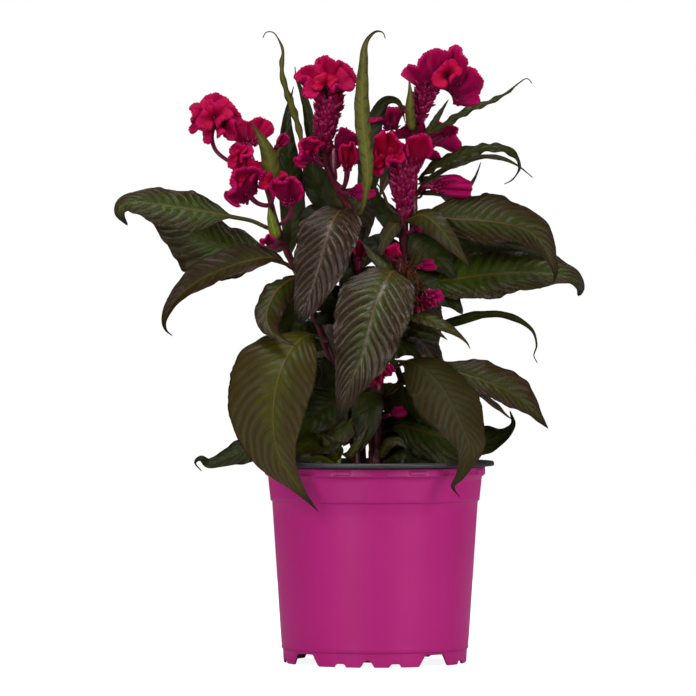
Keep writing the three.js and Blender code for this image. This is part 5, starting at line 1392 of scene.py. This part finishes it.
def crest(name, node, each):
    """A crest: a thick velvety ribbon with small ruffles, fine ribs and a swollen edge."""
    shape = {key: each[key] for key in CREST_SHAPE if key in each}
    surface, thick, course = crest_surface(**shape)
    seed = each["seed"]
    size = each["size"]
    edge_length = course * CREST_FOLDING
    rows = int(clamp(edge_length / CREST_ROW, 60, 300))
    columns = int(clamp(size / 1.5, 10, 24))
    middle = [[surface(i / rows, j / columns) for j in range(columns + 1)]
        for i in range(rows + 1)]
    ruffles = max(round(edge_length / RUFFLE_STEP), 2)
    phase = 6.28 * seeded(seed + 50)()
    skin = []
    for i in range(rows + 1):
        u = i / rows
        column = []
        for j in range(columns + 1):
            v = j / columns
            along = middle[min(i + 1, rows)][j] - middle[max(i - 1, 0)][j]
            upward = middle[i][min(j + 1, columns)] - middle[i][max(j - 1, 0)]
            normal = along.cross(upward).normalized()
            ruffle = math.sin(2 * math.pi * ruffles * u + phase + 1.5 * v)
            wander = noise.noise(Vector((u * ruffles * 0.8, v * 2, seed * 1.7)))
            sway = v**3 * (0.25 * ruffle + 0.9 * wander) * clamp(thick / 1.6, 0.4, 1)
            stretch = 0.7 * noise.noise(Vector((u * ruffles * 1.4, 4.0, seed))) * v * v
            at = middle[i][j] + normal * sway + upward.normalized() * stretch
            column.append((at, normal, upward.normalized()))
        skin.append(column)
    ring = 2 * (columns + 1) + 3

    def place(i, k):
        ends = ease(min(i, rows - i) / rows, 0.0, 0.02)
        u = i / rows
        groove = 0.07 * noise.noise(Vector((u * edge_length / 0.85, 0.5, seed)))
        if k <= columns or k > columns + 3:
            front = k <= columns
            j = k if front else ring - 1 - k
            at, normal, _ = skin[i][j]
            v = j / columns
            lift = thick / 2 * mix(0.6, 1, v)
            lift += groove * ease(v, 0.0, 0.3) * (1 if front else 0.8)
            return at + normal * (lift if front else -lift) * ends
        # the swollen, finely scalloped edge
        at, normal, upward = skin[i][columns]
        angle = math.radians((45, 90, 135)[k - columns - 1])
        teeth = noise.noise(Vector((u * edge_length / 0.9, 9.0, seed)))
        bead = thick / 2 * (1 + 0.9 * teeth)
        return at + (normal * math.cos(angle) + upward * math.sin(angle) * 1.15) * bead * ends

    def marks(i, k):
        if k > columns + 3:
            v = max(ring - 1 - k, 0) / columns
        else:
            v = min(k / columns, 1)
        outside = mix(each.get("outer", 0.4), 1, ease(k, columns + 1, columns + 3))
        return (i / rows * edge_length, v), (outside, 0)

    bm = new_skin()
    wrapped(bm, rows, ring, place, marks)
    finish_piece(name, bm, [CREST], "bloom", node)
    return skin, rows, columns, thick


def bud_mesh(shade):
    """One floret: a plump pointed bud along +Z, one unit long, its shade and height mapped."""
    bm = new_skin()
    made = bmesh.ops.create_uvsphere(bm, u_segments=6, v_segments=6, radius=1.0)["verts"]
    for vert in made:
        x, y, z = vert.co
        rise = (z + 1) / 2
        plump = mix(1.0, 0.45, ease(rise, 0.45, 1.0))
        vert.co = (x * 0.5 * plump, y * 0.5 * plump, rise)
    layer = bm.loops.layers.uv["blade"]
    for face in bm.faces:
        for loop in face.loops:
            loop[layer].uv = (shade, loop.vert.co.z)
    mesh = bpy.data.meshes.new("bud")
    bm.to_mesh(mesh)
    bm.free()
    return mesh


BUDS = [bud_mesh(shade) for shade in (0.05, 0.3, 0.6, 1.0)]


def add_floret(bm, foot, aim, length, width, shade):
    """Adds a floret with its foot at a place, pointing along aim; shade is from 0 to 1."""
    before = len(bm.verts)
    bm.from_mesh(BUDS[int(shade * 3.99)])
    bm.verts.ensure_lookup_table()
    turn = UP.rotation_difference(aim)
    for vert in bm.verts[before:]:
        x, y, z = vert.co
        vert.co = foot + turn @ Vector((x * width, y * width, z * length))


def column(bm, core, points, radii, seed):
    """Adds a spike: florets that overlap upwards, and the core that they stand on."""
    line = Line(points)
    draw = seeded(seed)

    def radius(t):
        return mix(radii[0], radii[1], t)

    tube(core, line, lambda t: radius(t) * 0.8, 16, 2.5)
    surface = math.pi * (radii[0] + radii[1]) * line.length
    count = int(surface / FLORET_COVER)
    for i in range(count):
        # even cover: more florets where the spike is thicker
        t = ((i + 1.5 * draw()) / (count + 1)) ** (0.5 if radii[0] < radii[1] / 2 else 0.75)
        angle = i * GOLDEN_ANGLE + 1.4 * (draw() - 0.5)
        axis = line.heading(t)
        side = Vector((1, 0, 0)).cross(axis).normalized()
        out = side * math.cos(angle) + axis.cross(side) * math.sin(angle)
        foot = line.at(t) + out * radius(t) * mix(0.5, 0.75, draw())
        aim = (out + axis * mix(0.4, 1.7, draw()) + side * (draw() - 0.5) * 1.3).normalized()
        add_floret(bm, foot, aim, mix(4.2, 8.6, draw()), mix(2.4, 4.6, draw() ** 1.5), draw())


def stalk(bm, on, each):
    """Adds a crest's stalk, from its stem up into the heart of the crest."""
    heart = Vector(each["at"]) + Vector(each["axis"]).normalized() * 0.3 * each["size"]
    start = each.get("from") or LINES[on].nearest(Vector(each["via"][0]))
    line = Line([start, *each["via"], each["at"], heart])
    girth = each["girth"]
    tube(bm, line, lambda t: girth * mix(1, 1.25, ease(t, 0.4, 1)), 16, 1.5, 0.06, 5)


# Each: its stem, its spikes of florets, and its crests. A crest stands at a place and grows
# along its axis; spread is its fan in degrees, and only a rosette has a cone. via leads its
# stalk there, and outer says how far its inner side takes the colour of the outer one.
BLOOMS = {
    "bloom_top_right": {"on": "branch_right",
        "columns": [([(33, 13, 414), (36, 12, 428), (41, 10, 444)], (4, 9))],
        "crests": [
            {"at": (50, 8, 432), "axis": (0.38, -0.22, 0.92), "size": 43, "spread": 155,
                "foot": 0.24, "outer": 0.8, "lean": 0.22, "waves": 5, "seed": 2, "lobed": 0.12,
                "lobes": 4, "notch": 0.2, "swing": 1.35},
            {"at": (55, 2, 450), "axis": (0.15, -0.9, 0.35), "size": 14, "spread": 350,
                "cone": 33, "waves": 2, "seed": 4, "foot": 0.35, "outer": 0.1, "swing": 0.9},
        ]},
    "bloom_top_centre": {"on": "stem_centre",
        "columns": [([(-41, 2, 392), (-38, 1, 412), (-35, 0, 436)], (5, 12))],
        "crests": [
            {"at": (-37, 2, 428), "axis": (0, -0.12, 1), "size": 37, "spread": 98, "waves": 3,
                "seed": 5, "lobed": 0.1, "lobes": 3, "notch": 0.15, "swing": 1.2},
            {"at": (-38, -2, 434), "axis": (0, -0.6, 0.8), "size": 25, "spread": 320,
                "cone": 40, "waves": 4, "swing": 1.2, "roll": 0.12, "seed": 6},
        ]},
    "bloom_left": {"on": "stem_left", "crests": [
        {"at": (-124, 1, 415), "axis": (0.05, -0.88, 0.45), "size": 20, "spread": 345,
            "cone": 58, "waves": 6, "seed": 7, "girth": 1.5, "lobes": 6, "notch": 0.3,
            "roll": 0.12, "via": [(-92, 0, 382), (-102, -1, 382), (-114, 0, 387),
                (-123, 2, 395), (-126, 3, 405)]},
        {"at": (-125, -1, 416), "axis": (0.05, -0.88, 0.45), "size": 16, "spread": 330,
            "cone": 32, "waves": 3, "seed": 8},
        {"at": (-97, 8, 394), "axis": (0, 0.1, 1), "size": 26, "spread": 105, "waves": 3,
            "lobes": 2, "swing": 1.1, "seed": 9, "girth": 2, "from": (-93, 0, 383),
            "via": [(-95, 5, 388)]},
        {"at": (-100, -5, 388), "axis": (-0.45, -0.75, 0.3), "size": 14, "spread": 320,
            "cone": 36, "waves": 3, "seed": 10, "girth": 1.6, "from": (-95, -1, 384),
            "swing": 1.1, "roll": 0.1, "via": [(-98, -3, 386)]},
        {"at": (-79, 2, 393), "axis": (0.6, -0.1, 0.78), "size": 17, "spread": 34, "waves": 1,
            "seed": 44, "girth": 1.3, "outer": 0.9, "from": (-88, 4, 384),
            "via": [(-84, 3, 388)]},
    ]},
    "bloom_left_low": {"on": "stem_left", "crests": [
        {"at": (-91, -3, 354), "axis": (-0.62, -0.5, 0.6), "across": (0.65, 0, 0.75),
            "size": 36, "spread": 88, "waves": 2, "swing": 1.35, "outer": 0.7, "seed": 11,
            "girth": 1.8, "via": [(-84, 0, 352)]},
        {"at": (-97, -6, 371), "axis": (-0.2, -0.75, 0.6), "size": 15, "spread": 330,
            "cone": 42, "waves": 3, "swing": 1.2, "roll": 0.1, "outer": 0.1, "seed": 51,
            "girth": 1.6, "via": [(-88, -1, 366)]},
    ]},
    "bloom_left_mid": {"on": "stem_left", "crests": [
        {"at": (-65, -8, 346), "axis": (-0.1, -0.55, 0.9), "size": 36, "spread": 66, "waves": 2,
            "swing": 1.35, "outer": 0.7, "lobes": 2, "notch": 0.2, "seed": 13, "girth": 1.4,
            "roll": 0.14, "via": [(-72, -5, 338)]},
        {"at": (-77, -11, 366), "axis": (-0.1, -0.6, 0.75), "size": 11, "spread": 320,
            "cone": 42, "waves": 2, "swing": 1.1, "roll": 0.1, "outer": 0, "seed": 53,
            "girth": 1.6, "via": [(-80, -3, 352)]},
    ]},
    "bloom_centre_left": {"on": "stem_centre", "crests": [
        {"at": (-44, -2, 386), "axis": (-0.72, -0.6, 0.5), "across": (0.5, 0, 0.85),
            "size": 24, "spread": 86, "waves": 2, "swing": 1.3, "outer": 0.7, "seed": 14,
            "girth": 1.8, "via": [(-40, 0, 383)]},
        {"at": (-49, -4, 393), "axis": (0.1, -0.7, 0.7), "size": 11, "spread": 320,
            "cone": 38, "waves": 2, "swing": 1.1, "roll": 0.1, "outer": 0, "seed": 54,
            "girth": 1.4, "via": [(-42, 0, 388)]},
    ]},
    "bloom_centre": {"on": "stem_centre", "crests": [
        {"at": (-22, -8, 372), "axis": (0.08, -0.55, 1), "size": 32, "spread": 40, "waves": 2,
            "swing": 1.35, "outer": 0.1, "seed": 15, "girth": 1.8, "roll": 0.13,
            "via": [(-24, -4, 366)]},
        {"at": (-24, -8, 361), "axis": (1, -0.55, 0.1), "across": (0, 0, 1), "size": 24,
            "spread": 52, "waves": 2, "swing": 1.3, "outer": 0.4, "seed": 16, "girth": 1.6,
            "via": [(-26, -4, 363)]},
    ]},
    "bloom_mid": {"on": "stem_main",
        "columns": [([(22, -2, 341), (22, -3, 358), (23, -4, 388)], (5, 12))],
        "crests": [
            {"at": (11, -7, 376), "axis": (-0.12, -0.55, 1), "size": 37, "spread": 56,
                "waves": 2, "swing": 1.4, "lobes": 2, "notch": 0.2, "outer": 0, "seed": 17,
                "roll": 0.08},
            {"at": (10, -10, 383), "axis": (-0.3, -0.8, 0.5), "size": 14, "spread": 330,
                "cone": 44, "waves": 3, "swing": 1.2, "roll": 0.1, "outer": 0, "seed": 57},
            {"at": (31, -8, 377), "axis": (0.12, -0.45, 1), "size": 32, "spread": 56,
                "waves": 2, "swing": 1.2, "lobed": 0.1, "outer": 0.2, "seed": 18,
                "roll": 0.1},
            {"at": (28, 2, 384), "axis": (0.1, 0.5, 0.9), "size": 20, "spread": 300,
                "cone": 40, "waves": 3, "swing": 1.2, "seed": 58},
        ]},
    "bloom_side": {"on": "branch_right", "crests": [
        {"at": (36, 6, 366), "axis": (1, -0.45, 0.08), "across": (0, 0, 1), "size": 40,
            "spread": 42, "waves": 3, "swing": 1.3, "outer": 0.3, "seed": 20, "girth": 1.8,
            "via": [(34, 12, 362)]},
    ]},
    "bloom_bud_right": {"on": "branch_right", "crests": [
        {"at": (50, 19, 405), "axis": (0.6, -0.2, 0.75), "size": 16, "spread": 80, "waves": 2,
            "lobes": 2, "outer": 0.8, "seed": 35, "girth": 1.6, "via": [(42, 20, 402)]},
    ]},
    "bloom_behind": {"on": "branch_right", "crests": [
        {"at": (14, 29, 404), "axis": (-0.06, -0.2, 1), "size": 27, "spread": 250, "cone": 22,
            "waves": 2, "foot": 0.3, "outer": 0.8, "seed": 22, "girth": 1.8,
            "via": [(23, 25, 393)]},
    ]},
    "bloom_low_1": {"on": "stem_main", "crests": [
        {"at": (12, -7, 311), "axis": (0.1, -0.5, 1), "size": 10, "spread": 130, "waves": 2,
            "seed": 23, "girth": 1.5, "via": [(16, -4, 309)]},
    ]},
    "bloom_low_2": {"on": "stem_main", "crests": [
        {"at": (30, -9, 305), "axis": (1, -0.4, 0.1), "across": (0, 0, 1), "size": 16,
            "spread": 50, "waves": 2, "seed": 24, "girth": 1.5, "via": [(26, -7, 304)]},
    ]},
    "bloom_low_3": {"on": "stem_main", "crests": [
        {"at": (29, -8, 333), "axis": (0.8, -0.5, 0.4), "across": (0, 0, 1), "size": 11,
            "spread": 80, "waves": 2, "seed": 25, "girth": 1.5, "via": [(26, -5, 331)]},
    ]},
    "bloom_spray": {"on": "stem_main",
        "columns": [([(15, -3, 275), (30, -9, 276), (44, -13, 281)], (2.2, 4.5))],
        "crests": [
            {"at": (40, -12, 279), "axis": (0.9, -0.3, 0.4), "across": (0, 0.2, 1),
                "size": 13, "spread": 80, "waves": 2, "seed": 26},
        ]},
    "bloom_inner": {"on": "stem_centre", "crests": [
        {"at": (-13, -2, 304), "axis": (0.1, -0.1, 1), "size": 22, "spread": 40, "waves": 2,
            "seed": 27, "girth": 1.6, "via": [(-13, 4, 300)]},
    ]},
    "bloom_gap": {"on": "stem_main", "crests": [
        {"at": (3, -10, 218), "axis": (0.3, -0.9, 0.3), "across": (-0.75, 0, -0.65),
            "size": 15, "spread": 130, "waves": 3, "seed": 28, "girth": 1.6,
            "via": [(4, -8, 217)]},
    ]},
    "bloom_foot": {"on": "stem_main", "crests": [
        {"at": (10, -9, 190), "axis": (0.9, -0.3, 0.4), "across": (0, 0, 1), "size": 14,
            "spread": 60, "waves": 2, "seed": 29, "girth": 1.5, "via": [(6, -6, 188)]},
    ]},
    "bloom_far_left": {"on": "stem_left", "crests": [
        {"at": (-79, -6, 320), "axis": (-0.35, -0.55, 0.6), "size": 13, "spread": 85,
            "waves": 2, "outer": 0.8, "seed": 30, "girth": 1.5, "via": [(-76, -4, 320)]},
    ]},
    "bloom_back_1": {"on": "stem_centre", "crests": [
        {"at": (-32, 36, 392), "axis": (0, 0.6, 0.8), "size": 22, "spread": 330, "cone": 50,
            "waves": 5, "seed": 31, "girth": 2.2, "via": [(-31, 18, 374), (-32, 30, 384)]},
    ]},
    "bloom_back_2": {"on": "branch_right", "crests": [
        {"at": (40, 44, 400), "axis": (0.1, 0.6, 0.8), "size": 24, "spread": 330, "cone": 50,
            "waves": 5, "seed": 32, "girth": 2.4, "via": [(34, 28, 383), (38, 38, 392)]},
    ]},
}


def bloom(name, each):
    """A bloom: its crests, each a piece, with all its florets and all its stalks as two more."""
    florets = new_skin()
    stalks = new_skin()
    for seed, (points, radii) in enumerate(each.get("columns", []), 61):
        column(florets, stalks, points, radii, seed)
    crests = list(each["crests"])
    for one in each["crests"]:
        if "cone" in one and one["cone"] > 35 and one["size"] >= 12:
            # a smaller ruffled heart fills the middle of a rosette
            rise = Vector(one["axis"]).normalized() * 0.22 * one["size"]
            crests.append({key: one[key] for key in ("axis", "spread")} | {
                "at": Vector(one["at"]) + rise, "size": HEART * one["size"],
                "cone": HEART * one["cone"], "waves": 2, "seed": one["seed"] + 40,
                "swing": 1.15, "foot": 0.2, "outer": 0})
    for number, one in enumerate(crests, 1):
        skin, rows, columns, thick = crest(f"{name}_crest_{number}", name, one)
        if "via" in one:
            stalk(stalks, each["on"], one)
        # florets climb the lower flanks of the larger crests
        if one["size"] < FLANKED:
            continue
        draw = seeded(one["seed"] + 90)
        share = 2.2 if one["size"] > 36 else 1.2
        for _ in range(int(one["size"] * share)):
            i = int(draw() * (rows - 1))
            j = int(columns * 0.19 * share * draw() ** 1.4)
            at, normal, upward = skin[i][j]
            face = normal if draw() < 0.5 else -normal
            aim = (face + upward * mix(0.6, 1.4, draw())).normalized()
            add_floret(florets, at + face * thick * 0.15, aim, mix(2.6, 4.4, draw()),
                mix(1.3, 2.2, draw()), draw())
    for kind, bm, material in (("florets", florets, FLORET), ("stalk", stalks, STALK)):
        if bm.verts:
            finish_piece(f"{name}_{kind}", bm, [material], "bloom", name)
        else:
            bm.free()


# ---- the whole plant ----
outer_pot()
inner_pot()
soil_plug()
for name in STEMS:
    stem(name)
seed = 100
for name, each in LEAVES.items():
    seed += 1
    leaf(f"{name}_blade", name, each, seed)
for name, each in BACK_LEAVES.items():
    seed += 1
    leaf(f"{name}_blade", name, back_leaf(each), seed)
for node in BRACTS:
    small = [{"petiole": 0.02, "wave": 0.06, **each} for each in BRACTS[node]]
    small += [back_leaf({"petiole": 0.05, **each}) for each in BACK_BRACTS.get(node, [])]
    for number, each in enumerate(small, 1):
        seed += 1
        leaf(f"{node}_leaf_{number}", node, each, seed)
for number, each in enumerate(INNER, 1):
    seed += 1
    leaf(f"inner_leaf_{number}", None, {"petiole": 0.08, "pinch": 0.7, **each}, seed)
sepals()
for name, each in BLOOMS.items():
    bloom(name, each)
for bud in BUDS:
    bpy.data.meshes.remove(bud)

# ---- floor, light and camera ----
floor_shape = bmesh.new()
bmesh.ops.create_circle(floor_shape, cap_ends=True, segments=96, radius=1.25)
floor_mesh = bpy.data.meshes.new("floor")
floor_shape.to_mesh(floor_mesh)
floor_shape.free()
floor = bpy.data.objects.new("floor", floor_mesh)
bpy.context.scene.collection.objects.link(floor)
# studio paper, bright behind the plant but dull enough to throw little light up under its leaves
paper = bpy.data.materials.new("studio_paper_white")
paper.use_nodes = True
paper_tree = paper.node_tree
paper_tree.nodes.clear()
dull = add(paper_tree, "ShaderNodeBsdfDiffuse", inputs={"Color": linear("9A9A9A")})
lit = add(paper_tree, "ShaderNodeEmission", inputs={"Color": linear("FFFFFF"),
    "Strength": 0.9})
white = add(paper_tree, "ShaderNodeAddShader", inputs={0: dull.outputs[0], 1: lit.outputs[0]})
seen = add(paper_tree, "ShaderNodeLightPath").outputs["Is Camera Ray"]
sheet = add(paper_tree, "ShaderNodeMixShader", inputs={0: seen, 1: dull.outputs[0],
    2: white.outputs[0]})
add(paper_tree, "ShaderNodeOutputMaterial", inputs={"Surface": sheet.outputs[0]})
floor_mesh.materials.append(paper)
floor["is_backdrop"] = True

world = bpy.data.worlds.new("studio")
bpy.context.scene.world = world
world.use_nodes = True
world.node_tree.nodes.clear()
dim = add(world.node_tree, "ShaderNodeBackground", inputs={"Color": linear("FFFFFF"),
    "Strength": 0.06})
bright = add(world.node_tree, "ShaderNodeBackground", inputs={"Color": linear("FFFFFF"),
    "Strength": 1.0})
seen = add(world.node_tree, "ShaderNodeLightPath").outputs["Is Camera Ray"]
both = add(world.node_tree, "ShaderNodeMixShader", inputs={0: seen, 1: dim.outputs[0],
    2: bright.outputs[0]})
add(world.node_tree, "ShaderNodeOutputWorld", inputs={"Surface": both.outputs[0]})

# Soft boxes: place, the point they face, width, height, power. Those beside and behind the
# plant only fill, so they are kept out of reflections.
LIGHTS = {
    "softbox_left": ((-0.95, -1.76, 0.85), (0, 0, 0.3), 0.5, 1.2, 23),
    "softbox_right": ((1.29, -1.53, 0.85), (0, 0, 0.3), 0.5, 1.2, 22),
    "softbox_far_left": ((-1.95, -0.35, 0.6), (0, 0, 0.2), 0.5, 1.2, 15),
    "softbox_far_right": ((1.95, -0.35, 0.6), (0, 0, 0.2), 0.5, 1.2, 15),
    "softbox_top": ((-0.1, -0.4, 1.9), (0, 0, 0.3), 0.8, 0.8, 22),
    "softbox_back": ((-0.9, 1.8, 0.9), (0, 0, 0.3), 1.0, 1.2, 20),
    "softbox_back_right": ((1.2, 1.7, 0.7), (0, 0, 0.3), 1.0, 1.2, 18),
}
for name, (place, target, width, height, power) in LIGHTS.items():
    light = bpy.data.lights.new(name, "AREA")
    light.shape = "RECTANGLE"
    light.size = width
    light.size_y = height
    light.energy = power
    lamp = bpy.data.objects.new(name, light)
    lamp.visible_glossy = name in ("softbox_left", "softbox_right", "softbox_top")
    lamp.location = place
    lamp.rotation_euler = (Vector(target) - Vector(place)).to_track_quat("-Z", "Y").to_euler()
    bpy.context.scene.collection.objects.link(lamp)

# level, straight at the front, and far enough off to see the plant almost without perspective
CAMERA_PLACE = (-0.0208, -3.5, 0.242)
CAMERA_LENS = 234.6
camera_data = bpy.data.cameras.new("camera")
camera_data.lens = CAMERA_LENS
camera_data.sensor_width = 36
camera_data.clip_end = 50
camera = bpy.data.objects.new("camera", camera_data)
camera.location = CAMERA_PLACE
camera.rotation_euler = (math.radians(90), 0, 0)
bpy.context.scene.collection.objects.link(camera)
bpy.context.scene.camera = camera
bpy.context.scene.view_settings.view_transform = "Standard"

boxes = [[list(corner) for corner in box] for box in (CAD_BOX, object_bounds())]
